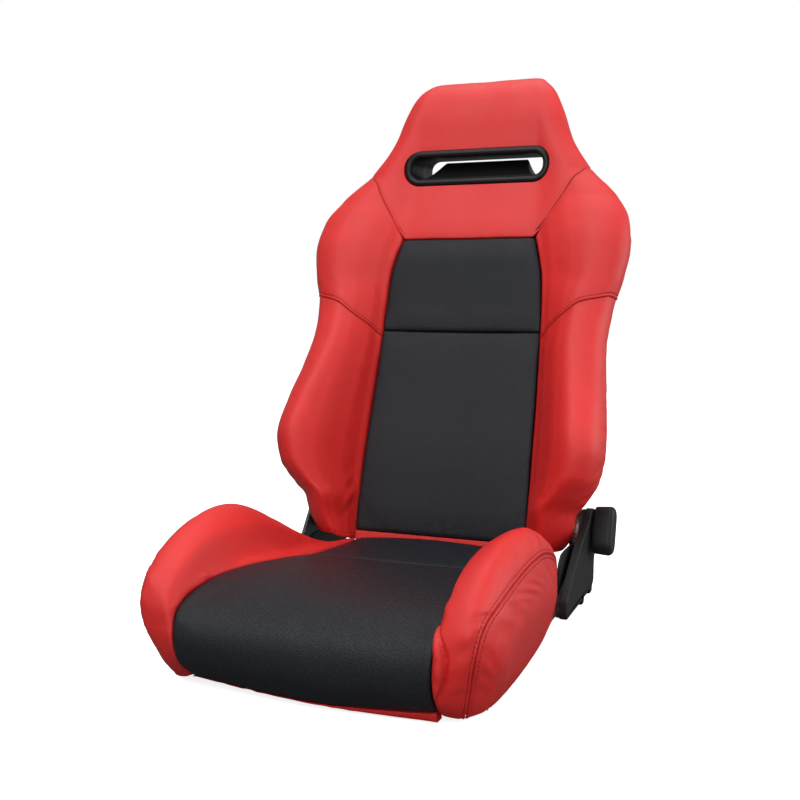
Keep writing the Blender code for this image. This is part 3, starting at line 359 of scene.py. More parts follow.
def back_inside(u, s):
    """Inner skin of the front blocks: a level foam bed, with solid foam at the head."""
    side = np.abs(u)
    w = table_at(BACK_ROWS, s)[0]
    rear = table_at(REAR_ROWS, s)[0]
    seam_x = back_section(np.full_like(side, GUSSET_U), s)[0]
    solid = ramp(s, *SOLID_HEIGHTS)
    limit = w - SIDE_WALL - (SIDE_STEPS[-1] * side_taper(w) + SOLID_MARGIN - SIDE_WALL) * solid
    x = np.where(side <= GUSSET_U, back_section(side, s)[0] * limit / seam_x, limit)
    outer = BED_OUTER - BED_OUTER_FALL * ramp(s, *BED_OUTER_HEIGHTS)
    middle = BED_MIDDLE - BED_MIDDLE_FALL * ramp(s, *BED_MIDDLE_HEIGHTS)
    t = middle + (outer - middle) * np.clip((side - 2) / (GUSSET_U - 2), 0.0, 1.0)
    round_side = np.clip((side - GUSSET_U) / (REAR_U - GUSSET_U), 0.0, 1.0)
    depth = REAR_PANEL + BED_REAR_STEP * (1 - round_side)
    foam = roll_over(s, rear) + rear_depth(s, depth) + REAR_PANEL_GAP
    return back_place(np.copysign(x, u), s, roll_over(s, t) * (1 - solid) + foam * solid)


def gusset_inside(u, s):
    """Inner skin of the side gusset, a wedge that is thin at the bolster seam."""
    side = np.abs(u)
    x, t = back_section(side, s)
    part = (side - GUSSET_U) / (REAR_U - GUSSET_U)
    thick = GUSSET_SEWN + GUSSET_FOAM * np.clip(part, 0.0, 1.0) ** 1.2
    return back_place(np.copysign(x - thick, u), s, roll_over(s, t) + GUSSET_LEAN * part)


def rear_section(u, s, depth):
    """Rear panel point, depth forward of its outer face, u from -1 to 1 across."""
    x, t = back_section(12.0 - (12.0 - REAR_U - 0.035) * np.abs(u), s)
    return np.copysign(x, u), roll_over(s, t) + rear_depth(s, depth)


def rear_skin(u, s):
    """Outer skin of the rear panel."""
    x, t = rear_section(u, s, 0.0)
    return back_place(x, s, t)


def rear_inside(u, s):
    """Inner skin of the rear panel, thin at its sewn rim."""
    x, t = rear_section(u, s, REAR_RIM + (REAR_PANEL - REAR_RIM) * (1 - np.abs(u) ** 6))
    return back_place(x - REAR_INSET * u * np.abs(u) * squeeze(s), s, t)


def edge_line(rows):
    """Height of a seam by station from the centre."""
    return lambda u: table_at(rows, np.abs(u))[0]


lower_edge = edge_line(((0.0, BACK_BOTTOM_S), (4.0, BACK_BOTTOM_S), (5.0, -0.0555), (5.8, -0.054),
                        (6.4, -0.052), (6.8, -0.049), (7.08, -0.043), (7.22, -0.020), (7.36, 0.018),
                        (7.6, 0.036), (8.0, 0.045), (9.3, 0.058), (12.0, 0.060)))
wing_lower_edge = edge_line(((2.0, PANEL_SEAM_S - 0.010), (4.0, 0.330), (5.0, 0.347), (6.3, 0.362)))
wing_upper_edge = edge_line(((2.0, PANEL_TOP_S), (3.0, 0.514), (4.0, 0.551), (5.0, 0.573),
                             (6.3, WING_TOP_S), (7.5, WING_TOP_S + 0.004), (9.3, WING_TOP_S + 0.004)))


def level(height):
    """A straight rim at one height."""
    return lambda u: np.full_like(u, height, dtype=float)


def seam_moved(u, v):
    """Station of a cover place: the inner seam, at 1, lies at SEAM_SHARE; from 2 on nothing moves."""
    share = table_at(SEAM_SHARE, v)[0]
    side = np.abs(u)
    inner = np.where(side <= 1.0, side * share, share + (2.0 - share) * (side - 1.0))
    return np.where(side < 2.0, inner, side)


def cushion_section(u, v):
    """Cushion skin at v, a section through the seven lines, in the cushion's own place."""
    lines = np.stack([through(np.asarray(line), v) for line in CUSHION_LINES])
    point = half_section(lines, seam_moved(u, v), False)
    sag = FRONT_SAG * bump(u, SAG_MIDDLE, SAG_WIDTH) * np.clip(1 - v / SAG_END, 0.0, 1.0) ** 2
    return np.copysign(point[..., 0], u), point[..., 1] + DATUM_Y, point[..., 2] - sag


def cushion_skin(u, v):
    """Outer skin of the cushion, u across in lines, v in stations from the hem."""
    return np.stack(cushion_section(u, v), axis=-1)


def cushion_wall(u, v):
    """Inner skin behind the front of the cushion, drawn in under the bolster."""
    x, y, z = cushion_section(u, v)
    seam_x = cushion_section(np.ones_like(u), v)[0]
    reach = cushion_section(np.full_like(u, 4.0), v)[0] - seam_x
    drawn = np.copysign(seam_x + (np.abs(x) - seam_x) * (1 - UNDERCUT / reach), u)
    return np.where(np.abs(u) > 1.0, drawn, x), y + FRONT_FOAM, z


def cushion_inside(u, v):
    """Inner skin under the pads and bolsters: a front wall up to FLOOR_V, then a flat floor."""
    x, y, z = cushion_wall(u, np.minimum(v, FLOOR_V))
    end_x, end_y, _ = cushion_wall(u, np.full_like(v, REAR_END_V))
    share = (np.clip((v - FLOOR_V) / (REAR_END_V - FLOOR_V), 0.0, 1.0)) ** 1.5
    floor = v > FLOOR_V
    return np.stack([x + (end_x - x) * share,
                     y + (end_y - FRONT_FOAM - y) * share,
                     np.where(floor, FLOOR_Z, z)], axis=-1)


def side_inside(u, v):
    """Inner skin of the cushion's side panel, thin at the sewn seam."""
    x, y, z = cushion_section(u, v)
    thick = SEWN_THICK + SIDE_FOAM * np.clip((np.abs(u) - 4.0) / 2.0, 0.0, 1.0) ** 1.2
    return np.stack([np.copysign(np.abs(x) - thick, u), y + 0.003 * (1 - ramp(v, 1.0, 4.0)), z],
                    axis=-1)


def hem_skin(u, v):
    """Red strip under the front of the black pad, v from 0 to 1 downward, taller towards +X."""
    x, y, z = cushion_section(u, np.zeros_like(u))
    tall = HEM_RIGHT + HEM_GROWTH * ramp(u, -0.15, 0.95)
    return np.stack([x, y + HEM_BACK + HEM_SLOPE * v, z - HEM_DROP - tall * v], axis=-1)


def hem_inside(u, v):
    """Inner skin of the front hem strip."""
    return hem_skin(u, v) + np.array([0.0, HEM_FOAM, 0.0])


# ------------------------------------------------------------------ meshes
def mesh_object(name, verts, faces, smooth=True, sharp=None):
    """New mesh object at the origin from arrays of places and faces."""
    mesh = bpy.data.meshes.new(name)
    mesh.from_pydata(np.asarray(verts, float).reshape(-1, 3), [], faces)
    mesh.update()
    if smooth:
        mesh.shade_smooth()
        if sharp is not None:
            mesh.set_sharp_from_angle(angle=math.radians(sharp))
    obj = bpy.data.objects.new(name, mesh)
    bpy.context.scene.collection.objects.link(obj)
    return obj


def dress(obj, body, slot, *materials):
    """Materials and body of a new piece; the slot argument is not used."""
    obj.data.materials.clear()
    for mat in materials:
        obj.data.materials.append(mat)
    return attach(obj, body)


def outward(obj):
    """Make all faces of a closed piece point out, by the sign of its volume."""
    mesh = obj.data
    mesh.calc_loop_triangles()
    verts = np.empty(len(mesh.vertices) * 3, np.float32)
    mesh.vertices.foreach_get("co", verts)
    tris = np.empty(len(mesh.loop_triangles) * 3, np.int32)
    mesh.loop_triangles.foreach_get("vertices", tris)
    corners = verts.reshape(-1, 3)[tris.reshape(-1, 3)].astype(float)
    corners -= corners.mean((0, 1))
    volume = np.einsum("ij,ij->i", corners[:, 0], np.cross(corners[:, 1], corners[:, 2])).sum()
    if volume < 0:
        mesh.flip_normals()
    return obj


RIM_STEPS = np.array((0.0, 0.0006, 0.0013, 0.0021, 0.0030, 0.0039, 0.0047, 0.0054, 0.0063,
                      0.0076, 0.0095))
INNER_SKIP = 4             # the hidden inner skin keeps every fourth line


def grid_lines(total, step):
    """Places of grid lines over a length, close together at both rims, 4k + 1 of them."""
    rim = RIM_STEPS * min(1.0, 0.3 * total / RIM_STEPS[-1])
    count = max(2, math.ceil((total - 2 * rim[-1]) / step))
    count += (-(count + 2 * len(rim) - 2)) % INNER_SKIP
    inner = np.linspace(rim[-1], total - rim[-1], count + 1)
    return np.concatenate([rim[:-1], inner, total - rim[-2::-1]])


def run(points, axis):
    """Length along each grid line from its first point."""
    steps = np.linalg.norm(np.diff(points, axis=axis), axis=-1)
    total = np.cumsum(steps, axis=axis)
    start = np.zeros_like(np.take(total, [0], axis=axis))
    return np.concatenate([start, total], axis=axis)


def normals(points, inner):
    """Unit normals of a grid that point away from its inner skin."""
    cross = np.cross(np.gradient(points, axis=1), np.gradient(points, axis=0))
    cross /= np.maximum(np.linalg.norm(cross, axis=-1, keepdims=True), 1e-12)
    turn = np.sign(((points - inner) * cross).sum(-1).mean())
    return cross * turn


def grid_faces(rows, columns):
    """Quads of a grid of points numbered row by row."""
    j, i = np.meshgrid(np.arange(rows - 1), np.arange(columns - 1), indexing="ij")
    a = (j * columns + i).ravel()
    return np.stack([a, a + 1, a + 1 + columns, a + columns], axis=1)


def ring_faces(rows, columns, closed=False):
    """Quads between rings of points numbered ring by ring; closed joins the last ring to the first."""
    j, i = np.meshgrid(np.arange(rows if closed else rows - 1), np.arange(columns), indexing="ij")
    after, following = (j + 1) % rows * columns, (i + 1) % columns
    return np.stack([j * columns + i, j * columns + following, after + following, after + i],
                    axis=-1).reshape(-1, 4)


def rim_wall(rows, columns):
    """Rim of a grid in order, and the quads that join it to a copy of the grid numbered after it."""
    count = rows * columns
    index = np.arange(count).reshape(rows, columns)
    rim = np.concatenate([index[0], index[1:, -1], index[-1, -2::-1], index[-2:0:-1, 0]])
    following = np.roll(rim, -1)
    return rim, np.stack([following, rim, rim + count, following + count], axis=1)


def shell_faces(rows, columns):
    """Faces of a closed block: fine outer grid, coarse inner grid and the wall between them."""
    step = INNER_SKIP
    coarse_rows, coarse_columns = (rows - 1) // step + 1, (columns - 1) // step + 1
    start = rows * columns
    outer = grid_faces(rows, columns)
    inner = grid_faces(coarse_rows, coarse_columns)[:, ::-1] + start
    walls = []
    for count, stride, first, inner_stride, inner_first, forward in (
            (coarse_columns - 1, 1, 0, 1, 0, False),
            (coarse_columns - 1, 1, (rows - 1) * columns, 1, (coarse_rows - 1) * coarse_columns, True),
            (coarse_rows - 1, columns, 0, coarse_columns, 0, True),
            (coarse_rows - 1, columns, columns - 1, coarse_columns, coarse_columns - 1, False)):
        k = np.arange(count)[:, None]
        fine = first + (k * step + np.arange(step + 1)) * stride
        low = start + inner_first + k * inner_stride
        high = low + inner_stride
        if forward:
            walls.append(np.hstack([fine, high, low]))
        else:
            walls.append(np.hstack([fine[:, ::-1], low, high]))
    return outer, inner, np.vstack(walls)


# ------------------------------------------------------------------ covers
TUCK, JOINED, FELLED, LAPPED, HEMMED, PLAIN = "tuck", "joined", "felled", "lapped", "hemmed", "plain"
JOINED_DEPTH, JOINED_WIDTH = 0.22, 0.45                     # shares of a tuck's depth and width
FELL_GROOVE, FELL_BAND, FELL_DIP = 0.0014, 0.0009, 0.0006   # heights of a felled seam's forms
LAP_GROOVE, LAP_BAND, LAP_DIP = 0.0014, 0.0007, 0.0010      # the same of a lapped seam
LAP_SHIFT = 0.0004         # how much farther in the stitches of a lapped seam lie
DIP_WIDTH = 0.0012
HEM_STITCH = 0.0085        # stitches of a hem, from its rim
HEM_DEPTH, HEM_DIP = 0.55, 0.0007
CROWN_REACH = 0.018        # a cover is at its full crown a few times this far from its seams
SHADE_REACH = 0.012        # and the painted shade by a seam fades over this


def rim_profile(kind, away, settings):
    """Height of a cover at a distance from its rim.

    tuck: a quarter circle that rolls into the seam.  joined: the same, much
    shallower.  felled: a narrow groove, a raised double band and a dip under the
    stitches.  lapped: a raised edge over its neighbour, with a dip under its
    stitches.  hemmed: a soft turned edge with a dip under its stitches.
    """
    depth, width = settings.tuck_depth, settings.tuck_width
    stitch = settings.stitch_offset
    inside = np.clip(1 - away / width, 0.0, 1.0)
    roll = -(1 - np.sqrt(np.maximum(1 - inside ** 2, 0.0)))
    if kind == TUCK:
        return depth * roll
    if kind == JOINED:
        near = np.clip(1 - away / (JOINED_WIDTH * width), 0.0, 1.0)
        return -JOINED_DEPTH * depth * (1 - np.sqrt(1 - near ** 2))
    if kind == FELLED:
        band = ramp(away, 0.0004, 0.0018) * (1 - ramp(away, stitch - 0.0012, stitch + 0.0006))
        return (-FELL_GROOVE * bump(away, 0.0, 0.0010) + FELL_BAND * band
                - FELL_DIP * bump(away, stitch, DIP_WIDTH))
    if kind == LAPPED:
        band = 1 - ramp(away, stitch - 0.0008, stitch + 0.0012)
        edge = -LAP_GROOVE * bump(away, 0.0, 0.0008)
        return LAP_BAND * band + edge - LAP_DIP * bump(away, stitch + LAP_SHIFT, DIP_WIDTH)
    if kind == HEMMED:
        return HEM_DEPTH * depth * roll - HEM_DIP * bump(away, HEM_STITCH, 0.0014)
    return np.zeros_like(away)


class Cover:
    """One cover panel: fine grid of its outer skin, with lengths and rims."""

    def __init__(self, name, outer, inner, span, edges, rims, settings):
        self.name, self.outer, self.inner, self.edges = name, outer, inner, edges
        self.rims = dict(zip(("first", "last", "low", "high"), rims))
        self.span, self.settings = span, settings
        probe = np.linspace(0.0, 1.0, 160)
        middle = self.sample(probe, np.full_like(probe, 0.5))[0]
        across = run(middle[None], 1)[0]
        half = np.full_like(probe, 0.5)
        rise = run(self.sample(half, probe)[0][None], 1)[0]
        self.rise_table, self.across_table = (rise, probe), (across, probe)

    def sample(self, f, g):
        """Outer and inner skin at shares f across and g along."""
        u = self.span[0] + (self.span[1] - self.span[0]) * f
        limits = [edge(u) for edge in self.edges]
        place = np.clip(g, 0.0, 1.0) * (len(limits) - 1)
        v = np.zeros_like(u)
        for k in range(len(limits) - 1):
            share = np.clip(place - k, 0.0, 1.0)
            v = np.where(place >= k, limits[k] + (limits[k + 1] - limits[k]) * share, v)
        return self.outer(u, v), self.inner(u, v)

    def lay(self, step):
        """Grid of both skins with lines about one step apart."""
        f = np.interp(grid_lines(self.across_table[0][-1], step), *self.across_table)
        g = np.interp(grid_lines(self.rise_table[0][-1], step), *self.rise_table)
        share_f, share_g = np.meshgrid(f, g)
        return share_f, share_g, *self.sample(share_f, share_g)

    def swollen(self, cap):
        """Movement of a coarse, even grid of this cover as cloth under pressure, pinned at its seams."""
        step = self.settings.sim_step
        count_f = max(8, round(self.across_table[0][-1] / step))
        count_g = max(8, round(self.rise_table[0][-1] / step))
        f = np.interp(np.linspace(0, self.across_table[0][-1], count_f + 1), *self.across_table)
        g = np.interp(np.linspace(0, self.rise_table[0][-1], count_g + 1), *self.rise_table)
        share_f, share_g = np.meshgrid(f, g)
        top, under = self.sample(share_f, share_g)
        moved = swell_cloth(top, under) - top
        size = np.linalg.norm(moved, axis=-1, keepdims=True)
        return f, g, moved * np.minimum(1.0, cap / np.maximum(size, 1e-9)), top, under

    def build(self, body, slot, materials, wrinkles=None):
        """Mesh of the cover: skin, crown, share of the swelling, seam profiles and wrinkles."""
        settings = self.settings
        share_f, share_g, top, under = self.lay(settings.mesh_step)
        facing = normals(top, under)
        away = {"first": run(top, 1), "low": run(top, 0)}
        away["last"] = away["first"][:, -1:] - away["first"]
        away["high"] = away["low"][-1:] - away["low"]
        sewn = [away[rim] for rim, kind in self.rims.items() if kind != PLAIN]
        nearest = np.minimum.reduce(sewn) if sewn else np.full(top.shape[:2], 1.0)
        height = settings.crown * (1 - np.exp(-nearest / CROWN_REACH))
        f, g, moved, rough_top, rough_under = self.swollen(settings.swell)
        out = (moved * normals(rough_top, rough_under)).sum(-1)
        height = height + settings.slack * spread_grid(out, f, g, share_f, share_g)
        top = top + facing * height[..., None]
        height = np.zeros(top.shape[:2])
        for rim, kind in self.rims.items():
            height = height + rim_profile(kind, away[rim], settings)
        if wrinkles is not None:
            height = height + wrinkles(away, share_f, share_g)
        facing = normals(top, under)
        top = top + facing * height[..., None]
        self.points, self.facing, self.away = top, normals(top, under), away
        rows, columns = top.shape[:2]
        coarse = under[::INNER_SKIP, ::INNER_SKIP]
        outer_faces, inner_faces, wall_faces = shell_faces(rows, columns)
        verts = np.vstack([top.reshape(-1, 3), coarse.reshape(-1, 3)])
        faces = outer_faces.tolist() + inner_faces.tolist() + wall_faces.tolist()
        obj = mesh_object(self.name + "_cover", verts, faces, sharp=55)
        kinds = np.zeros(len(faces), np.int32)
        kinds[len(outer_faces):len(outer_faces) + len(inner_faces)] = 1
        obj.data.polygons.foreach_set("material_index", kinds)
        mark = np.zeros(len(verts), np.float32)
        # nearness to the seams, read by the leather for its creases and for its painted seam shade
        mark[:rows * columns] = np.exp(-nearest / SHADE_REACH).ravel()
        obj.data.attributes.new("seam_near", "FLOAT", "POINT").data.foreach_set("value", mark)
        flat = np.zeros((len(verts), 2))
        flat[:rows * columns, 0] = away["first"].ravel()
        flat[:rows * columns, 1] = away["low"].ravel()
        lay_flat(obj.data, flat)
        outward(obj)
        dress(obj, body, slot, *materials)
        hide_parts(self.name)
        return obj

    def line(self, rim, distance):
        """Polyline and normals on the cover at a distance from a rim."""
        away = self.away[rim]
        axis = 1 if rim in ("first", "last") else 0
        points, facing = self.points, self.facing
        if rim in ("last", "high"):
            away, points, facing = (np.flip(a, axis) for a in (away, points, facing))
        if axis == 0:
            away, points, facing = (np.swapaxes(a, 0, 1) for a in (away, points, facing))
        i = np.clip((away < distance).sum(1) - 1, 0, away.shape[1] - 2)[:, None]
        low = np.take_along_axis(away, i, 1)
        high = np.take_along_axis(away, i + 1, 1)
        f = ((distance - low) / np.maximum(high - low, 1e-9))[..., None]
        both = []
        for values in (points, facing):
            a = np.take_along_axis(values, i[..., None], 1)
            b = np.take_along_axis(values, i[..., None] + 1, 1)
            both.append((a + (b - a) * f)[:, 0])
        return both


def spread_grid(values, f, g, share_f, share_g):
    """Coarse grid values read at fine shares, by smoothed linear steps in both directions."""
    rows = np.stack([np.interp(share_f[0], f, row) for row in values])
    full = np.stack([np.interp(share_g[:, 0], g, column) for column in rows.T], axis=1)
    for _ in range(6):
        full[1:-1] = (full[:-2] + 2 * full[1:-1] + full[2:]) / 4
        full[:, 1:-1] = (full[:, :-2] + 2 * full[:, 1:-1] + full[:, 2:]) / 4
    return full


def lay_flat(mesh, flat):
    """UV map from a flat place for each vertex, in metres of leather."""
    loops = np.empty(len(mesh.loops), np.int32)
    mesh.loops.foreach_get("vertex_index", loops)
    layer = mesh.uv_layers.new(name="UVMap")
    layer.data.foreach_set("uv", flat[loops].astype(np.float32).ravel())


SIM_FRAMES = 14


def swell_cloth(top, under):
    """Places of the outer grid after cloth with pressure has settled on the pinned seams and inner skin."""
    rows, columns = top.shape[:2]
    count = rows * columns
    verts = np.vstack([top.reshape(-1, 3), under.reshape(-1, 3)])
    outer = grid_faces(rows, columns)
    inner = outer[:, ::-1] + count
    rim, wall = rim_wall(rows, columns)
    obj = mesh_object("swelling", verts, np.vstack([outer, inner, wall]).tolist(), smooth=False)
    outward(obj)
    pinned = obj.vertex_groups.new(name="pinned")
    pinned.add(np.concatenate([rim, np.arange(count, 2 * count)]).tolist(), 1.0, "REPLACE")
    cloth = obj.modifiers.new("cloth", "CLOTH")
    soft = cloth.settings
    soft.quality = 4
    soft.mass = 0.25
    soft.tension_stiffness = 22
    soft.compression_stiffness = 12
    soft.shear_stiffness = 6
    soft.bending_stiffness = 2.0
    soft.air_damping = 4
    soft.use_pressure = True
    soft.uniform_pressure_force = 4.0
    soft.shrink_min = -0.02
    soft.vertex_group_mass = "pinned"
    soft.effector_weights.gravity = 0.0
    cloth.collision_settings.use_collision = False
    scene = bpy.context.scene
    cloth.point_cache.frame_start, cloth.point_cache.frame_end = 1, SIM_FRAMES
    for number in range(1, SIM_FRAMES + 1):
        scene.frame_set(number)
    graph = bpy.context.evaluated_depsgraph_get()
    settled = obj.evaluated_get(graph).to_mesh()
    places = np.empty(len(verts) * 3, np.float32)
    settled.vertices.foreach_get("co", places)
    obj.evaluated_get(graph).to_mesh_clear()
    mesh = obj.data
    bpy.data.objects.remove(obj, do_unlink=True)
    bpy.data.meshes.remove(mesh)
    scene.frame_set(1)
    return places.reshape(-1, 3)[:count].reshape(top.shape).astype(float)


def beside(away, rim):
    """Length along a rim and distance from it, at every point of a cover."""
    return away["low" if rim in ("first", "last") else "first"], away[rim]


def waves(packets):
    """Wrinkles as a sum of wave packets.

    Each packet is (rim, place along, distance from the rim, reach along, reach
    away, wavelength, slant, height): a cosine ridge under a bell.
    """
    def height(away, share_f, share_g):
        total = np.zeros_like(share_f)
        for rim, along, off, reach_along, reach_off, wave, slant, tall in packets:
            a, d = beside(away, rim)
            bell = bump(a, along, reach_along) * bump(d, off, reach_off)
            total += tall * bell * np.cos(2 * np.pi * ((a - along) + slant * (d - off)) / wave)
        return total
    return height


def puckers(rim, pitch, tall, seed, start=0.004, width=0.016):
    """Small uneven folds that run away from a seam, a sum of sines with drifting phase."""
    draw = np.random.RandomState(seed)
    parts = [(pitch * draw.uniform(0.7, 1.9), draw.uniform(0, 6.28), draw.uniform(0.4, 1.0))
             for _ in range(5)]
    drift = [(draw.uniform(0.05, 0.14), draw.uniform(0, 6.28)) for _ in range(3)]

    def height(away, share_f, share_g):
        a, d = beside(away, rim)
        sway = sum(np.sin(2 * np.pi * a / size + phase) for size, phase in drift)
        total = sum(weight * np.sin(2 * np.pi * (a + 0.15 * d * sway) / size + phase)
                    for size, phase, weight in parts)
        strength = np.clip(0.55 + 0.45 * sway, 0.0, 1.4)
        return tall * total / 2.2 * strength * ramp(d, 0.0, start) * np.exp(-d / width)
    return height


def lobe(rim, start, end, reach, deep, tall):
    """Loose fold at a seam: a crease bowed away from the rim and a puffed lobe between them."""
    def height(away, share_f, share_g):
        a, d = beside(away, rim)
        bow = np.sin(np.pi * np.clip((a - start) / (end - start), 0.0, 1.0))
        crease = reach * bow
        inside = np.clip(d / np.maximum(crease, 1e-4), 0.0, 1.0)
        return tall * bow * np.sin(np.pi * inside) - deep * np.sqrt(bow) * bump(d, crease, 0.0026)
    return height


def together(*parts):
    """Sum of several height functions."""
    return lambda away, f, g: sum(part(away, f, g) for part in parts)


# ------------------------------------------------------------------ stitches
def stitches(name, rows, settings, body, slot, mat):
    """Rows of stitches: each stitch is a short round tube that arches out of the leather.

    Over the shown length the centre line follows half an ellipse, and the radius
    follows the square root of the same arch.
    """
    pitch, shown, radius = settings.stitch_pitch, settings.stitch_length, settings.thread_radius
    stations, sides = 6, 6
    lowest, sunk, raised = 0.04, 0.75, 1.9   # flattest end of the arch, depth in the leather, rise in radii
    along = np.linspace(-0.5, 0.5, stations)
    arch = np.sqrt(np.maximum(1 - (2 * along) ** 2, lowest))
    verts, faces, flats, start = [], [], [], 0
    for points, facing, trim in rows:
        total = run(points[None], 1)[0]
        centres = np.arange(trim + pitch / 2, total[-1] - trim - pitch / 2, pitch)
        if not len(centres):
            continue
        at = centres[:, None] + along[None] * shown
        place = np.stack([np.interp(at, total, points[:, k]) for k in range(3)], axis=-1)
        up = np.stack([np.interp(at, total, facing[:, k]) for k in range(3)], axis=-1)
        ahead = np.gradient(place, axis=1)
        ahead /= np.linalg.norm(ahead, axis=-1, keepdims=True)
        aside = np.cross(ahead, up)
        aside /= np.linalg.norm(aside, axis=-1, keepdims=True)
        up = np.cross(aside, ahead)
        place = place + up * ((arch - sunk) * raised * radius)[None, :, None]
        turn = np.arange(sides) * 2 * np.pi / sides
        ring = (aside[:, :, None] * np.cos(turn)[:, None] + up[:, :, None] * np.sin(turn)[:, None])
        tube = place[:, :, None] + ring * (radius * arch ** 0.5)[None, :, None, None]
        count = len(centres)
        verts.append(tube.reshape(-1, 3))
        base = (start + np.arange(count) * stations * sides)[:, None, None]
        faces += (ring_faces(stations, sides)[None] + base).reshape(-1, 4).tolist()
        first = np.arange(sides)[None, ::-1] + base[:, 0]
        last = np.arange(sides)[None] + (stations - 1) * sides + base[:, 0]
        faces += first.tolist() + last.tolist()
        lengths = np.broadcast_to(at[:, :, None], (count, stations, sides))
        turns = np.broadcast_to(turn[None, None], (count, stations, sides))
        flats.append(np.stack([lengths, turns * radius], axis=-1).reshape(-1, 2))
        start += count * stations * sides
    obj = mesh_object(name, np.vstack(verts), faces)
    lay_flat(obj.data, np.vstack(flats))
    outward(obj)
    return dress(obj, body, slot, mat)


# ------------------------------------------------------------------ shader helpers
def feed(tree, target, links):
    """Fill the inputs of a node with values or links."""
    for socket, value in links.items():
        if isinstance(value, bpy.types.NodeSocket):
            tree.links.new(value, target.inputs[socket])
        else:
            target.inputs[socket].default_value = value


def node(tree, kind, links=(), **settings):
    """Add a shader node, set its properties and fill its inputs."""
    made = tree.nodes.new("ShaderNode" + kind)
    for key, value in settings.items():
        setattr(made, key, value)
    feed(tree, made, dict(links))
    return made


def calc(tree, operation, first, second=0.0, third=None):
    """Output of a Math node."""
    links = {0: first, 1: second}
    if third is not None:
        links[2] = third
    return node(tree, "Math", links, operation=operation).outputs[0]


def ranged(tree, value, low, high, out_low=0.0, out_high=1.0):
    """Smooth Map Range."""
    links = {"Value": value, "From Min": low, "From Max": high, "To Min": out_low, "To Max": out_high}
    return node(tree, "MapRange", links, interpolation_type="SMOOTHSTEP").outputs["Result"]


def blended(tree, share, first, second):
    """Mix of two colours."""
    mixed = node(tree, "Mix", {0: share, 6: first, 7: second}, data_type="RGBA")
    return mixed.outputs[2]


def shader_group(name, inputs, outputs):
    """Empty node group with named sockets; returns its tree, input node and output node."""
    tree = bpy.data.node_groups.new(name, "ShaderNodeTree")
    for label, kind, value in inputs:
        socket = tree.interface.new_socket(label, in_out="INPUT", socket_type="NodeSocket" + kind)
        if value is not None:
            socket.default_value = value
    for label, kind in outputs:
        tree.interface.new_socket(label, in_out="OUTPUT", socket_type="NodeSocket" + kind)
    return tree, tree.nodes.new("NodeGroupInput"), tree.nodes.new("NodeGroupOutput")


def use_group(tree, name, links):
    """Outputs of a node group placed in a tree."""
    return node(tree, "Group", links, node_tree=bpy.data.node_groups[name]).outputs


def rgba(value, share=1.0):
    """A share of a colour, with full alpha."""
    return (*(share * part for part in value), 1.0)


def make_grain_group():
    """Pebbled leather grain: rounded Voronoi cells with creases between them and a finer noise."""
    tree, given, out = shader_group("LeatherGrain", [("Vector", "Vector", None), ("Cell", "Float", 0.001)],
                                    [("Height", "Float"), ("Crease", "Float")])
    scale = calc(tree, "DIVIDE", 1.0, given.outputs["Cell"])
    warp = node(tree, "TexNoise", {"Vector": given.outputs["Vector"], "Scale": 240.0, "Detail": 1.0})
    moved = node(tree, "VectorMath", {0: warp.outputs["Color"], 1: (0.0009,) * 3}, operation="MULTIPLY")
    place = node(tree, "VectorMath", {0: given.outputs["Vector"], 1: moved.outputs[0]}, operation="ADD")
    cells = node(tree, "TexVoronoi", {"Vector": place.outputs[0], "Scale": scale},
                 feature="DISTANCE_TO_EDGE")
    pebble = ranged(tree, cells.outputs["Distance"], 0.0, 0.22)
    fine = node(tree, "TexNoise", {"Vector": given.outputs["Vector"], "Scale": 2600.0, "Detail": 1.0})
    height = calc(tree, "MULTIPLY_ADD", fine.outputs["Fac"], 0.35, pebble)
    feed(tree, out, {"Height": height, "Crease": calc(tree, "SUBTRACT", 1.0, pebble)})


def make_tone_shade_group():
    """Uneven tone of a cover: broad and fine noise, painted shade darker towards the seams, paler where it
    is rubbed.
    """
    tree, given, out = shader_group(
        "CoverTone", [("Vector", "Vector", None), ("Colour", "Color", (1, 1, 1, 1)),
                      ("Seam", "Float", 0.0), ("Rub", "Float", 0.1)],
        [("Colour", "Color"), ("Gloss", "Float")])
    broad = node(tree, "TexNoise", {"Vector": given.outputs["Vector"], "Scale": 7.0, "Detail": 3.0})
    fine = node(tree, "TexNoise", {"Vector": given.outputs["Vector"], "Scale": 85.0, "Detail": 2.0})
    tone = calc(tree, "ADD", ranged(tree, broad.outputs["Fac"], 0.25, 0.75, 0.93, 1.05),
                  ranged(tree, fine.outputs["Fac"], 0.3, 0.7, -0.02, 0.02))
    # painted shade: the colour is darkened where the cover rolls into its seams
    dark = calc(tree, "MULTIPLY_ADD", calc(tree, "POWER", given.outputs["Seam"], 2.0), -0.14, tone)
    scaled = node(tree, "VectorMath", {0: given.outputs["Colour"], "Scale": dark}, operation="SCALE")
    rubbed = calc(tree, "MULTIPLY", given.outputs["Rub"],
                    ranged(tree, broad.outputs["Fac"], 0.52, 0.80))
    rubbed_tone = node(tree, "VectorMath", {0: given.outputs["Colour"], "Scale": 1.5}, operation="SCALE")
    pale = blended(tree, rubbed, scaled.outputs[0], rubbed_tone.outputs[0])
    gloss = ranged(tree, fine.outputs["Fac"], 0.3, 0.7, -0.03, 0.05)
    feed(tree, out, {"Colour": pale, "Gloss": gloss})


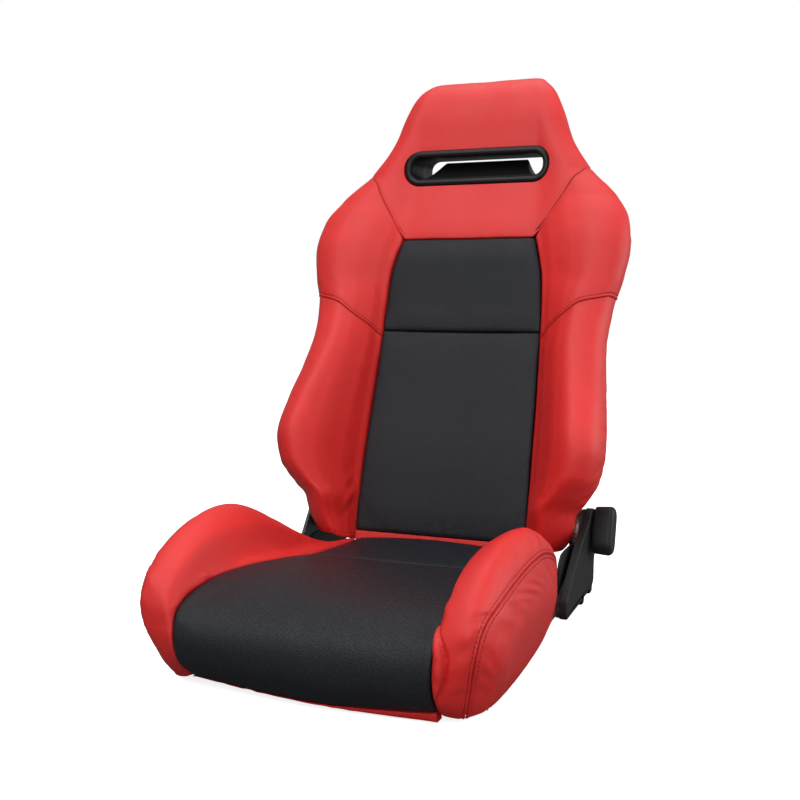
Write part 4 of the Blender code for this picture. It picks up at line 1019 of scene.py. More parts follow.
def make_hole_group():
    """Staggered round holes on flat leather coordinates."""
    tree, given, out = shader_group("Perforation", [("Flat", "Vector", None), ("Pitch", "Float", 0.004)],
                                    [("Hole", "Float")])
    parts = node(tree, "SeparateXYZ", {0: given.outputs["Flat"]})
    pitch = given.outputs["Pitch"]
    row_place = calc(tree, "DIVIDE", parts.outputs["Y"], calc(tree, "MULTIPLY", pitch, 0.5))
    odd = calc(tree, "MODULO", calc(tree, "FLOOR", row_place), 2.0)
    place = calc(tree, "MULTIPLY_ADD", odd, 0.5, calc(tree, "DIVIDE", parts.outputs["X"], pitch))
    across = calc(tree, "SUBTRACT", calc(tree, "FRACT", place), 0.5)
    along = calc(tree, "MULTIPLY", calc(tree, "SUBTRACT", calc(tree, "FRACT", row_place), 0.5), 0.5)
    squared = calc(tree, "MULTIPLY_ADD", across, across, calc(tree, "MULTIPLY", along, along))
    hole = ranged(tree, calc(tree, "SQRT", squared), 0.15, 0.25, 1.0, 0.0)
    tree.links.new(hole, out.inputs["Hole"])


def make_mould_group():
    """Fine spark-eroded texture of a moulding."""
    tree, given, out = shader_group("MouldTexture", [("Vector", "Vector", None), ("Size", "Float", 0.0006)],
                                    [("Height", "Float"), ("Speck", "Float")])
    scale = calc(tree, "DIVIDE", 1.0, given.outputs["Size"])
    fine = node(tree, "TexNoise", {"Vector": given.outputs["Vector"], "Scale": scale, "Detail": 2.0})
    cells = node(tree, "TexVoronoi", {"Vector": given.outputs["Vector"], "Scale": scale})
    height = calc(tree, "MULTIPLY_ADD", cells.outputs["Distance"], 0.6, fine.outputs["Fac"])
    broad = node(tree, "TexNoise", {"Vector": given.outputs["Vector"], "Scale": 45.0, "Detail": 4.0})
    feed(tree, out, {"Height": height, "Speck": ranged(tree, broad.outputs["Fac"], 0.45, 0.75)})


def make_wear_group():
    """Rubbed edges: where a bevelled normal leaves the true one, broken up by noise."""
    tree, given, out = shader_group("EdgeWear", [("Vector", "Vector", None), ("Width", "Float", 0.001)],
                                    [("Mask", "Float")])
    soft = node(tree, "Bevel", {"Radius": given.outputs["Width"]}, samples=4)
    true = node(tree, "NewGeometry")
    match = node(tree, "VectorMath", {0: soft.outputs[0], 1: true.outputs["Normal"]},
                 operation="DOT_PRODUCT")
    edge = ranged(tree, match.outputs["Value"], 0.93, 0.80)
    patchy = node(tree, "TexNoise", {"Vector": given.outputs["Vector"], "Scale": 130.0, "Detail": 4.0})
    mask = calc(tree, "MULTIPLY", edge, ranged(tree, patchy.outputs["Fac"], 0.42, 0.62))
    tree.links.new(mask, out.inputs["Mask"])


def new_material(name):
    """Material with one Principled shader; returns it, its tree, the shader and object coordinates."""
    mat = bpy.data.materials.new(name)
    mat.use_nodes = True
    tree = mat.node_tree
    shader = tree.nodes["Principled BSDF"]
    return mat, tree, shader, node(tree, "TexCoord").outputs["Object"]


def bump_into(tree, shader, height, depth):
    """Feed a height in shares of a depth in metres into the shader's normal."""
    raised = node(tree, "Bump", {"Height": height, "Distance": depth, "Strength": 1.0})
    tree.links.new(raised.outputs[0], shader.inputs["Normal"])


def leather(name, tone, rough, grain, sheen, pitch=None, rub=0.05):
    """Coated leather: pebbled grain, creases near seams, uneven tone with painted shade by the seams and,
    with a pitch, round holes painted dark inside as shade.
    """
    mat, tree, shader, place = new_material(name)
    seam = node(tree, "Attribute", attribute_name="seam_near").outputs["Fac"]
    toned = use_group(tree, "CoverTone", {"Vector": place, "Colour": rgba(tone), "Seam": seam, "Rub": rub})
    pebbles = use_group(tree, "LeatherGrain", {"Vector": place, "Cell": grain})
    stretched = node(tree, "Mapping", {"Vector": place, "Scale": (1.0, 1.0, 0.35)})
    crease = node(tree, "TexNoise", {"Vector": stretched.outputs[0], "Scale": 120.0, "Detail": 3.0,
                                     "Distortion": 1.2})
    ridges = ranged(tree, calc(tree, "ABSOLUTE", calc(tree, "SUBTRACT", crease.outputs["Fac"], 0.5)),
                    0.0, 0.05)
    creases = calc(tree, "MULTIPLY", ridges, calc(tree, "MULTIPLY_ADD", seam, 0.9, 0.25))
    height = calc(tree, "MULTIPLY_ADD", creases, 1.1, pebbles["Height"])
    surface = toned["Colour"]
    gloss = calc(tree, "ADD", toned["Gloss"], rough)
    gloss = calc(tree, "MULTIPLY_ADD", pebbles["Crease"], 0.10, gloss)
    if pitch:
        flat = node(tree, "UVMap", uv_map="UVMap").outputs["UV"]
        hole = use_group(tree, "Perforation", {"Flat": flat, "Pitch": pitch})["Hole"]
        height = calc(tree, "MULTIPLY_ADD", hole, -3.0, height)
        # painted shade: each hole is coloured near black for the shade inside it
        surface = blended(tree, hole, surface, rgba((0.004, 0.004, 0.004)))
    feed(tree, shader, {"Base Color": surface, "Roughness": gloss, "Specular IOR Level": sheen})
    bump_into(tree, shader, height, 0.00010)
    return mat


def felt(name, tone):
    """Needled backing felt."""
    mat, tree, shader, place = new_material(name)
    fibres = node(tree, "TexNoise", {"Vector": place, "Scale": 900.0, "Detail": 4.0, "Distortion": 2.0})
    surface = blended(tree, fibres.outputs["Fac"], rgba(tone, 0.6), rgba(tone, 1.6))
    feed(tree, shader, {"Base Color": surface, "Roughness": 0.95})
    bump_into(tree, shader, fibres.outputs["Fac"], 0.0004)
    return mat


def thread(name, tone):
    """Twisted thread: slanting bands along each stitch, with painted shade in the grooves of the twist and
    a painted highlight on its crests.
    """
    mat, tree, shader, _ = new_material(name)
    flat = node(tree, "SeparateXYZ", {0: node(tree, "UVMap", uv_map="UVMap").outputs["UV"]})
    slant = calc(tree, "MULTIPLY", calc(tree, "ADD", flat.outputs["X"], flat.outputs["Y"]), 9000.0)
    twist = calc(tree, "MULTIPLY_ADD", calc(tree, "SINE", slant), 0.5, 0.5)
    # painted light and shade: the band colour follows the twist, darker in its grooves and lighter on its
    # crests
    surface = blended(tree, twist, rgba(tone, 0.55), rgba(tone, 1.25))
    feed(tree, shader, {"Base Color": surface, "Roughness": 0.6, "Specular IOR Level": 0.15})
    bump_into(tree, shader, twist, 0.00012)
    return mat


def moulding(name, tone, rough, size, depth=0.00007):
    """Moulded plastic: spark texture, faint specks and edges rubbed smooth."""
    mat, tree, shader, place = new_material(name)
    texture = use_group(tree, "MouldTexture", {"Vector": place, "Size": size})
    worn = use_group(tree, "EdgeWear", {"Vector": place, "Width": 0.0016})["Mask"]
    surface = blended(tree, calc(tree, "MULTIPLY", texture["Speck"], 0.35), rgba(tone),
                      rgba(tone, 1.7))
    surface = blended(tree, calc(tree, "MULTIPLY", worn, 0.5), surface, rgba(tone, 3.0))
    gloss = calc(tree, "MULTIPLY_ADD", worn, -0.12, rough)
    gloss = calc(tree, "MULTIPLY_ADD", texture["Speck"], 0.06, gloss)
    feed(tree, shader, {"Base Color": surface, "Roughness": gloss, "Specular IOR Level": 0.20})
    bump_into(tree, shader, texture["Height"], depth)
    return mat


def painted_steel(name, paint, bare):
    """Satin paint with orange peel, dust on top and bare steel at rubbed edges."""
    mat, tree, shader, place = new_material(name)
    peel = node(tree, "TexNoise", {"Vector": place, "Scale": 420.0, "Detail": 1.0})
    worn = use_group(tree, "EdgeWear", {"Vector": place, "Width": 0.0012})["Mask"]
    facing = node(tree, "SeparateXYZ", {0: node(tree, "NewGeometry").outputs["Normal"]}).outputs["Z"]
    dusty = node(tree, "TexNoise", {"Vector": place, "Scale": 30.0, "Detail": 5.0})
    dust = calc(tree, "MULTIPLY", ranged(tree, facing, 0.2, 1.0),
                  ranged(tree, dusty.outputs["Fac"], 0.4, 0.75, 0.0, 0.18))
    surface = blended(tree, dust, rgba(paint), rgba((0.16, 0.15, 0.14)))
    surface = blended(tree, worn, surface, rgba(bare))
    gloss = calc(tree, "ADD", calc(tree, "MULTIPLY", dust, 1.6), 0.36)
    feed(tree, shader, {"Base Color": surface, "Metallic": worn, "Roughness": gloss})
    bump_into(tree, shader, peel.outputs["Fac"], 0.00008)
    return mat


def zinc_plate(name, tone):
    """Zinc plating: crystalline tone patches and a fine brushed line."""
    mat, tree, shader, place = new_material(name)
    patches = node(tree, "TexVoronoi", {"Vector": place, "Scale": 500.0})
    drawn = node(tree, "Mapping", {"Vector": place, "Scale": (30.0, 900.0, 900.0)})
    lines = node(tree, "TexNoise", {"Vector": drawn.outputs[0], "Scale": 1.0, "Detail": 2.0})
    share = calc(tree, "MULTIPLY", patches.outputs["Distance"], 0.8)
    surface = blended(tree, share, rgba(tone), rgba(tone, 0.72))
    gloss = ranged(tree, lines.outputs["Fac"], 0.3, 0.7, 0.28, 0.42)
    feed(tree, shader, {"Base Color": surface, "Metallic": 1.0, "Roughness": gloss})
    bump_into(tree, shader, lines.outputs["Fac"], 0.00003)
    return mat


MATERIALS = {}
COVERS = {}


class SEAT_OT_materials(bpy.types.Operator):
    """Make the node groups and the materials that the pieces share."""
    bl_idname = "seat.materials"
    bl_label = "Materials"

    def execute(self, context):
        cover, hard = context.scene.seat_covers, context.scene.seat_hardware
        make_grain_group()
        make_tone_shade_group()
        make_hole_group()
        make_mould_group()
        make_wear_group()
        MATERIALS.update(
            red=leather("red_leather", cover.red, 0.37, cover.grain, 0.38),
            black=leather("black_leather", cover.black, 0.33, cover.grain, 0.25, rub=0.02),
            perforated=leather("perforated_leather", cover.black, 0.33, cover.grain, 0.25,
                               cover.perforation, rub=0.02),
            felt=felt("backing_felt", cover.backing),
            thread=thread("red_thread", cover.thread),
            plastic=moulding("moulded_plastic", hard.plastic, 0.36, 0.0006),
            textured=moulding("textured_plastic", hard.plastic, 0.52, 0.0011, 0.00016),
            grip=moulding("knob_plastic", [1.3 * c for c in hard.plastic], 0.46, 0.0005),
            paint=painted_steel("painted_steel", hard.steel_paint, hard.bare_steel),
            zinc=zinc_plate("zinc_plate", hard.zinc))
        return {"FINISHED"}


# ------------------------------------------------------------------ operators: covers
U_GAP, V_GAP, SIDE_GAP, SEAM_GAP = 0.006, 0.0030, 0.010, 0.0002


def add_cover(context, name, body, look, outer, inner, span, edges, rims, wrinkles=None):
    """Build one cover and keep it for the stitching."""
    slot = "red_leather" if look == "red" else "black_leather"
    cover = Cover(name, outer, inner, span, edges, rims, context.scene.seat_covers)
    cover.object = cover.build(body, slot, (MATERIALS[look], MATERIALS["felt"]), wrinkles)
    COVERS[name] = cover
    return cover


class SEAT_OT_cushion(bpy.types.Operator):
    """Centre pad, rear strip, thigh bolsters, side panels and front hem of the cushion."""
    bl_idname = "seat.cushion"
    bl_label = "Cushion covers"

    def execute(self, context):
        skins = cushion_skin, cushion_inside
        pad = (U_GAP - 1.0, 1.0 - U_GAP)
        add_cover(context, "cushion_centre_pad", "base", "perforated", *skins, pad,
                  (level(0.0), level(CROSS_SEAM_V - V_GAP)), (TUCK, TUCK, TUCK, TUCK),
                  together(puckers("low", 0.011, 0.0004, 3), puckers("first", 0.018, 0.0004, 4),
                           puckers("last", 0.018, 0.0004, 5)))
        add_cover(context, "cushion_rear_strip", "base", "black", *skins, pad,
                  (level(CROSS_SEAM_V + V_GAP), level(REAR_END_V)), (TUCK, TUCK, TUCK, PLAIN),
                  puckers("low", 0.016, 0.0004, 6))
        for side, tag in ((1, "left"), (-1, "right")):
            add_cover(context, "cushion_bolster_" + tag, "base", "red", *skins,
                      (side * (1.0 + U_GAP), side * (4.0 - SIDE_GAP)),
                      (level(0.0), level(REAR_END_V)), (TUCK, FELLED, HEMMED, PLAIN),
                      together(puckers("last", 0.015, 0.0007, 11 + side), BOLSTER_FOLDS[tag],
                               puckers("first", 0.024, 0.0006, 14 + side)))
            add_cover(context, "cushion_side_panel_" + tag, "base", "red", cushion_skin, side_inside,
                      (side * (4.0 + SIDE_GAP), side * 6.0), (level(0.0), level(SIDE_END_V)),
                      (FELLED, HEMMED, HEMMED, HEMMED),
                      together(puckers("first", 0.016, 0.0005, 21 + side), SIDE_FOLDS))
        add_cover(context, "cushion_front_hem", "base", "red", hem_skin, hem_inside, (-0.97, 0.97),
                  (level(0.0), level(1.0)), (PLAIN, PLAIN, JOINED, JOINED),
                  puckers("high", 0.030, 0.0007, 9, 0.001))
        return {"FINISHED"}


BOLSTER_FOLDS = {
    "left": together(lobe("first", 0.030, 0.150, 0.019, 0.0042, 0.0055),
                     waves((("first", 0.185, 0.024, 0.040, 0.012, 0.050, 0.8, -0.0014),
                            ("last", 0.130, 0.018, 0.050, 0.010, 0.034, 0.5, 0.0010),
                            ("last", 0.420, 0.020, 0.060, 0.012, 0.045, -0.7, 0.0012)))),
    "right": waves((("first", 0.040, 0.012, 0.030, 0.0075, 0.40, 0.0, -0.0020),
                    ("last", 0.160, 0.020, 0.050, 0.012, 0.040, 0.6, 0.0010),
                    ("last", 0.400, 0.020, 0.060, 0.012, 0.040, -0.6, 0.0010))),
}
SIDE_FOLDS = waves((("first", 0.085, 0.022, 0.030, 0.014, 0.026, 1.1, 0.0009),
                    ("first", 0.150, 0.030, 0.040, 0.018, 0.040, 0.8, 0.0011),
                    ("first", 0.240, 0.026, 0.045, 0.016, 0.036, -0.6, 0.0010),
                    ("first", 0.360, 0.028, 0.050, 0.016, 0.050, 0.7, 0.0012),
                    ("first", 0.050, 0.034, 0.024, 0.012, 0.022, -0.8, 0.0009)))
GUSSET_FOLDS = waves((("first", 0.090, 0.020, 0.030, 0.014, 0.020, 0.7, 0.0012),
                      ("first", 0.160, 0.026, 0.035, 0.016, 0.026, -0.6, 0.0012),
                      ("first", 0.250, 0.030, 0.050, 0.020, 0.036, 0.5, 0.0012),
                      ("first", 0.420, 0.030, 0.060, 0.020, 0.044, -0.5, 0.0010)))
BACK_FOLDS = waves((("last", 0.120, 0.026, 0.040, 0.018, 0.028, 0.6, 0.0010),
                    ("last", 0.230, 0.024, 0.045, 0.016, 0.034, -0.5, 0.0009),
                    ("first", 0.070, 0.020, 0.040, 0.014, 0.040, 0.9, 0.0010),
                    ("first", 0.300, 0.020, 0.040, 0.014, 0.040, -0.8, 0.0009)))


class SEAT_OT_backrest(bpy.types.Operator):
    """Centre pads, hem, bolsters, wings, gussets, head and rear panel of the backrest."""
    bl_idname = "seat.backrest"
    bl_label = "Backrest covers"

    def execute(self, context):
        skins = back_skin, back_inside
        centre = (U_GAP - 2.0, 2.0 - U_GAP)
        all_tucked = (TUCK, TUCK, TUCK, TUCK)
        add_cover(context, "back_hem", "backrest", "red", *skins, centre,
                  (level(BACK_BOTTOM_S), level(HEM_TOP_S - SEAM_GAP)), (JOINED, JOINED, PLAIN, PLAIN))
        add_cover(context, "back_pad_lower", "backrest", "perforated", *skins, centre,
                  (level(HEM_TOP_S + SEAM_GAP), level(PANEL_SEAM_S - SEAM_GAP)), all_tucked,
                  together(puckers("high", 0.020, 0.0004, 31), puckers("low", 0.014, 0.0005, 32)))
        add_cover(context, "back_pad_upper", "backrest", "perforated", *skins, centre,
                  (level(PANEL_SEAM_S + SEAM_GAP), level(PANEL_TOP_S - SEAM_GAP)), all_tucked,
                  puckers("low", 0.020, 0.0004, 33))
        for side, tag in ((1, "left"), (-1, "right")):
            front = (side * (2.0 + U_GAP), side * (GUSSET_U - SIDE_GAP))
            add_cover(context, "back_bolster_" + tag, "backrest", "red", *skins, front,
                      (lower_edge, lambda u: wing_lower_edge(u) - SEAM_GAP),
                      (TUCK, JOINED, HEMMED, JOINED),
                      together(puckers("last", 0.020, 0.0006, 41 + side), BACK_FOLDS,
                               puckers("first", 0.026, 0.0005, 44 + side)))
            add_cover(context, "shoulder_wing_" + tag, "backrest", "red", *skins, front,
                      (lambda u: wing_lower_edge(u) + SEAM_GAP, lambda u: wing_upper_edge(u) - SEAM_GAP),
                      (TUCK, JOINED, LAPPED, JOINED),
                      together(puckers("last", 0.022, 0.0005, 51 + side),
                               puckers("low", 0.024, 0.0004, 54 + side)))
            add_cover(context, "back_gusset_" + tag, "backrest", "red", back_skin, gusset_inside,
                      (side * (GUSSET_U + SIDE_GAP), side * (REAR_U - 0.08)),
                      (lower_edge, lambda u: wing_upper_edge(u) - SEAM_GAP),
                      (JOINED, JOINED, HEMMED, JOINED),
                      together(puckers("first", 0.018, 0.0009, 61 + side), GUSSET_FOLDS))
        head = add_cover(context, "head_panel", "backrest", "red", *skins,
                         (0.15 - REAR_U, REAR_U - 0.15),
                         (lambda u: wing_upper_edge(np.maximum(np.abs(u), 2.0)) + SEAM_GAP,
                          level(HEAD_DOME_S), level(HEAD_END_S)),
                         (JOINED, JOINED, JOINED, PLAIN), puckers("low", 0.030, 0.0004, 71))
        rear = add_cover(context, "rear_panel", "backrest", "black", rear_skin, rear_inside,
                         (-1.0, 1.0), (level(0.060), level(HEAD_DOME_S), level(HEAD_END_S)),
                         (TUCK, TUCK, HEMMED, PLAIN),
                         together(puckers("first", 0.026, 0.0006, 75), puckers("last", 0.026, 0.0006, 76)))
        grow, lip = SLEEVE_WALL + CUT_ROOM, LIP_WIDTH + CUT_ROOM
        cut_through(head.object, slot_plug(grow, CUT_REAR, CUT_FRONT))
        cut_through(head.object, slot_plug(lip, LIP_BED, CUT_FRONT))
        cut_through(rear.object, slot_plug(lip, CUT_REAR, REAR_CUT_FRONT))
        return {"FINISHED"}


# ------------------------------------------------------------------ harness slot
# Places along the slot, forward of its middle
CUT_REAR, CUT_FRONT, REAR_CUT_FRONT = -0.150, 0.080, 0.010
LIP_BED, FLANGE_BACK, LIP_BASE = -0.0075, -0.0070, 0.0035
SLEEVE_END, REAR_SLEEVE_START, REAR_FLANGE, REAR_LIP_BASE = -0.0715, -0.0722, -0.0840, -0.0995
RAMP_REAR, RAMP_FRONT = -0.063, -0.004
# Sizes across it
CUT_ROOM = 0.0006          # room round the bezel in the covers
RAMP_FOOT, RAMP_CREST = 0.104, 0.077   # half lengths of the strap ramp
RAMP_EDGE = 0.0008         # its thickness at the rim
RAMP_LENGTH, RAMP_TAPER, CREST_TAPER = 0.059, 0.006, 0.002
RAMP_FRONT_RUN, RAMP_REAR_RUN, CREST_START = 0.054, 0.005, 0.058
RAMP_SHARPNESS = 14.0      # higher makes its ridges sharper
REAR_LIP_SHARE = 0.62      # height of the rear lip as a share of the front one's


def slot_place(x, a, b):
    """World place in the slot's own plane: across, up and forward, climbing rearward."""
    a = a - b * SLOT_RISE
    s = SLOT_S + a * math.cos(SLOT_TILT) - b * math.sin(SLOT_TILT)
    t = SLOT_T + a * math.sin(SLOT_TILT) + b * math.cos(SLOT_TILT)
    return back_place(x, s, t)


def slot_loop(grow, corner_steps=14, straight_steps=10):
    """Rounded rectangle round the slot: quarter circles joined by straight runs."""
    half_w, half_h, corner = (v + grow for v in (SLOT_HALF_W, SLOT_HALF_H, SLOT_CORNER))
    turn = np.linspace(0, math.pi / 2, corner_steps + 1)
    arcs = []
    for quadrant, (cx, cy) in enumerate(((1, 1), (-1, 1), (-1, -1), (1, -1))):
        angle = turn + quadrant * math.pi / 2
        arcs.append(np.stack([cx * (half_w - corner) + corner * np.cos(angle),
                              cy * (half_h - corner) + corner * np.sin(angle)], axis=1))
    points = []
    for k, arc in enumerate(arcs):
        points.append(arc)
        share = np.linspace(0, 1, straight_steps + 1)[1:-1, None]
        points.append(arc[-1] + (arcs[(k + 1) % 4][0] - arc[-1]) * share)
    return np.vstack(points)


def slot_ring(name, profile):
    """Ring: a closed (outward, forward) profile carried round the slot."""
    rings = [slot_place(*slot_loop(grow).T, b) for grow, b in profile]
    faces = ring_faces(len(rings), len(rings[0]), closed=True).tolist()
    return outward(mesh_object(name, np.vstack(rings), faces, sharp=50))


def slot_plug(grow, b0, b1):
    """Solid plug of the slot's outline, a cutter."""
    loop = slot_loop(grow, 10, 2)
    count = len(loop)
    verts = np.vstack([slot_place(*loop.T, b0), slot_place(*loop.T, b1)])
    i = np.arange(count)
    faces = np.stack([i, (i + 1) % count, (i + 1) % count + count, i + count], axis=1).tolist()
    faces += [i[::-1].tolist(), (i + count).tolist()]
    return outward(mesh_object("slot_cutter", verts, faces, smooth=False))


def cut_through(obj, tool):
    """Take a cutter out of a piece for good, so that no modifier stays on it."""
    mod = obj.modifiers.new("slot", "BOOLEAN")
    mod.operation = "DIFFERENCE"
    mod.solver = "EXACT"
    mod.object = tool
    bpy.context.view_layer.update()
    graph = bpy.context.evaluated_depsgraph_get()
    done = bpy.data.meshes.new_from_object(obj.evaluated_get(graph))
    obj.modifiers.clear()
    old = obj.data
    obj.data = done
    bpy.data.meshes.remove(old)
    bpy.data.objects.remove(tool, do_unlink=True)


def lip_profile(height, count=14):
    """Half ellipse of the bezel's lip, from its outer rim to the sleeve, as (outward, forward)."""
    turn = np.linspace(0.0, math.pi, count)
    half = LIP_WIDTH / 2
    return [(half + half * math.cos(a), LIP_BASE + (height - LIP_BASE) * math.sin(a)) for a in turn]


class SEAT_OT_harness_slot(bpy.types.Operator):
    """Front and rear bezel of the harness slot and the strap ramp between them."""
    bl_idname = "seat.harness_slot"
    bl_label = "Harness slot"

    def execute(self, context):
        hard = context.scene.seat_hardware
        wall, lip = SLEEVE_WALL, lip_profile(hard.lip_height)
        front = [(LIP_WIDTH, FLANGE_BACK + 0.0005), (LIP_WIDTH, -0.002)] + lip
        front += [(0.0, -0.02), (0.0, -0.045), (0.0, SLEEVE_END + 0.0005), (0.0004, SLEEVE_END),
                  (wall, SLEEVE_END), (wall, FLANGE_BACK), (LIP_WIDTH - 0.0005, FLANGE_BACK)]
        bezel = slot_ring("slot_bezel_trim", front)
        dress(bezel, "backrest", "moulded_plastic", MATERIALS["plastic"])
        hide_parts("slot_bezel")
        rear = [(0.0, REAR_SLEEVE_START), (wall, REAR_SLEEVE_START), (wall, REAR_FLANGE),
                (LIP_WIDTH, REAR_FLANGE)]
        rear += [(out, REAR_LIP_BASE - (b - LIP_BASE) * REAR_LIP_SHARE) for out, b in lip]
        trim = slot_ring("slot_bezel_rear_trim", rear)
        dress(trim, "backrest", "moulded_plastic", MATERIALS["plastic"])
        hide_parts("slot_bezel_rear")
        ramp_piece = strap_ramp("strap_ramp")
        dress(ramp_piece, "backrest", "moulded_plastic", MATERIALS["plastic"])
        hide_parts("slot_strap_guide")
        return {"FINISHED"}


def strap_ramp(name):
    """Ramp: the soft minimum of a front slope, a rear slope and two side slopes over the sleeve's floor."""
    floor = -SLOT_HALF_H + 0.0004
    rise = GUIDE_TOP - floor
    x, b = np.meshgrid(np.linspace(-RAMP_FOOT, RAMP_FOOT, 141), np.linspace(RAMP_REAR, RAMP_FRONT, 49))
    front = (RAMP_FRONT - b) / RAMP_FRONT_RUN
    rear = (b - RAMP_REAR) / RAMP_REAR_RUN
    edge = RAMP_FOOT + (b - RAMP_FRONT) * (RAMP_TAPER / RAMP_LENGTH)
    top_edge = RAMP_CREST + CREST_TAPER * (b + CREST_START) / RAMP_FRONT_RUN
    side = ((edge - np.abs(x)) / np.maximum(edge - top_edge, 0.002)) ** 2
    slopes = np.stack([front, rear, side, np.ones_like(x)])
    soft = -np.log(np.exp(-RAMP_SHARPNESS * slopes).sum(0)) / RAMP_SHARPNESS
    share = np.clip(soft, 0.0, 1.0)
    rows, columns = x.shape
    top = slot_place(np.clip(x, -edge, edge), floor + RAMP_EDGE + (rise - RAMP_EDGE) * share, b)
    under = slot_place(np.clip(x, -edge, edge), np.full_like(x, floor), b)
    outer = grid_faces(rows, columns)
    wall = rim_wall(rows, columns)[1]
    faces = np.vstack([outer, outer[:, ::-1] + rows * columns, wall]).tolist()
    return outward(mesh_object(name, np.vstack([top.reshape(-1, 3), under.reshape(-1, 3)]), faces,
                               sharp=50))


# ------------------------------------------------------------------ recliner
ARM_X = 0.2165
HOUSING_X = ARM_X + 0.005 + 0.0004
BRACKET_X = HOUSING_X + 0.0100 + 0.0004
COVER_X = BRACKET_X + 0.005 + 0.0004
COVER_THICK = 0.0120
KNOB_X = COVER_X + COVER_THICK + 0.0025
KNOB_THICK = 0.031
BRACKET_END_R = 0.032
KNOB_HALF_LENGTH = 0.039
KNOB_HALF_WIDTH = 0.020
KNOB_SHRINK = 0.0072       # inset of the knob's outline at the end of its dome
# Steps as (x, inset): the knob's back and face, and the sunk face of the moulded cover
KNOB_BACK = ((0.0, 0.0030), (0.0006, 0.0022), (0.003, 0.0014))
KNOB_FACE = ((0.0003, 0.0105), (0.0003, 0.0130))
MOULDING_FACE = ((0.0, 0.0040), (-0.0008, 0.0046), (-0.0008, 0.0060))
MOULDING_MARGIN = 0.002    # radius of its round end past the bracket's
SHIELD_THICK, SHIELD_GAP, SHIELD_EDGE = 0.0026, 0.0005, 0.0008
# Outlines as (y, z): the moulded cover's front and lower edges, then the shields
MOULDING_FRONT = ((0.120, 0.042), (0.116, 0.051), (0.117, 0.070), (0.165, 0.104), (0.205, 0.130))
MOULDING_REAR = ((0.321, 0.110), (0.307, 0.092), (0.305, 0.056), (0.294, 0.049), (0.292, 0.040),
                 (0.276, 0.040), (0.274, 0.048), (0.236, 0.046), (0.234, 0.037), (0.220, 0.037),
                 (0.218, 0.045), (0.190, 0.043))
SHIELDS = {
    "left": ((-0.014, 0.075), (0.000, 0.062), (0.076, 0.062), (0.096, 0.078), (0.106, 0.104),
             (0.104, 0.126), (0.060, 0.131), (0.020, 0.131), (0.000, 0.129), (-0.014, 0.118)),
    "right": ((0.096, 0.062), (0.140, 0.058), (0.232, 0.050), (0.241, 0.056), (0.241, 0.076),
              (0.200, 0.090), (0.130, 0.101), (0.104, 0.100), (0.096, 0.090)),
}


def inset(outline, distance):
    """Closed outline moved inward along its corner normals, outline counter-clockwise."""
    ahead = np.roll(outline, -1, axis=0) - outline
    ahead /= np.maximum(np.linalg.norm(ahead, axis=1, keepdims=True), 1e-12)
    behind = np.roll(ahead, 1, axis=0)
    normal = np.stack([-(ahead + behind)[:, 1], (ahead + behind)[:, 0]], axis=1)
    normal /= np.maximum(np.linalg.norm(normal, axis=1, keepdims=True), 1e-12)
    spread_out = np.clip((normal * np.stack([-ahead[:, 1], ahead[:, 0]], axis=1)).sum(1), 0.5, 1.0)
    return outline + normal * (distance / spread_out)[:, None]


def counter_clockwise(outline):
    """The outline with a positive area."""
    x, y = outline.T
    area = (x * np.roll(y, -1) - np.roll(x, -1) * y).sum()
    return outline if area > 0 else outline[::-1]


def resampled(outline, step):
    """Closed outline with even points about one step apart, corners rounded by two smoothing passes."""
    closed = np.vstack([outline, outline[:1]])
    total = run(closed[None], 1)[0]
    at = np.linspace(0, total[-1], max(12, int(total[-1] / step)), endpoint=False)
    points = np.stack([np.interp(at, total, closed[:, k]) for k in range(2)], axis=1)
    for _ in range(2):
        points = (np.roll(points, 1, 0) + 2 * points + np.roll(points, -1, 0)) / 4
    return points


def side_plate(name, outline, profile):
    """Plate in the side plane: rings of the outline at (x, inset) steps, closed by flat ends."""
    outline = counter_clockwise(outline)
    rings = []
    for x, distance in profile:
        yz = inset(outline, distance)
        rings.append(np.column_stack([np.full(len(yz), x), yz]))
    columns = len(outline)
    faces = ring_faces(len(rings), columns).tolist()
    last = (len(rings) - 1) * columns
    faces += [np.arange(columns)[::-1].tolist(), (last + np.arange(columns)).tolist()]
    return outward(mesh_object(name, np.vstack(rings), faces, sharp=40))


def arc_points(cy, cz, radius, start, end, count):
    """Points on an arc, angles in degrees from +Y."""
    a = np.radians(np.linspace(start, end, count))
    return np.stack([cy + radius * np.cos(a), cz + radius * np.sin(a)], axis=1)


def rounded_edge(x0, x1, radius, steps=5):
    """Profile of a plate with a quarter-round outer edge, as (x, inset)."""
    turn = np.linspace(0, math.pi / 2, steps + 1)
    sign = 1 if x1 > x0 else -1
    small = radius * 0.3
    start = [(x0, small), (x0 + sign * small, 0.0)]
    return start + [(x1 - sign * radius * (1 - math.sin(a)), radius * (1 - math.cos(a))) for a in turn]


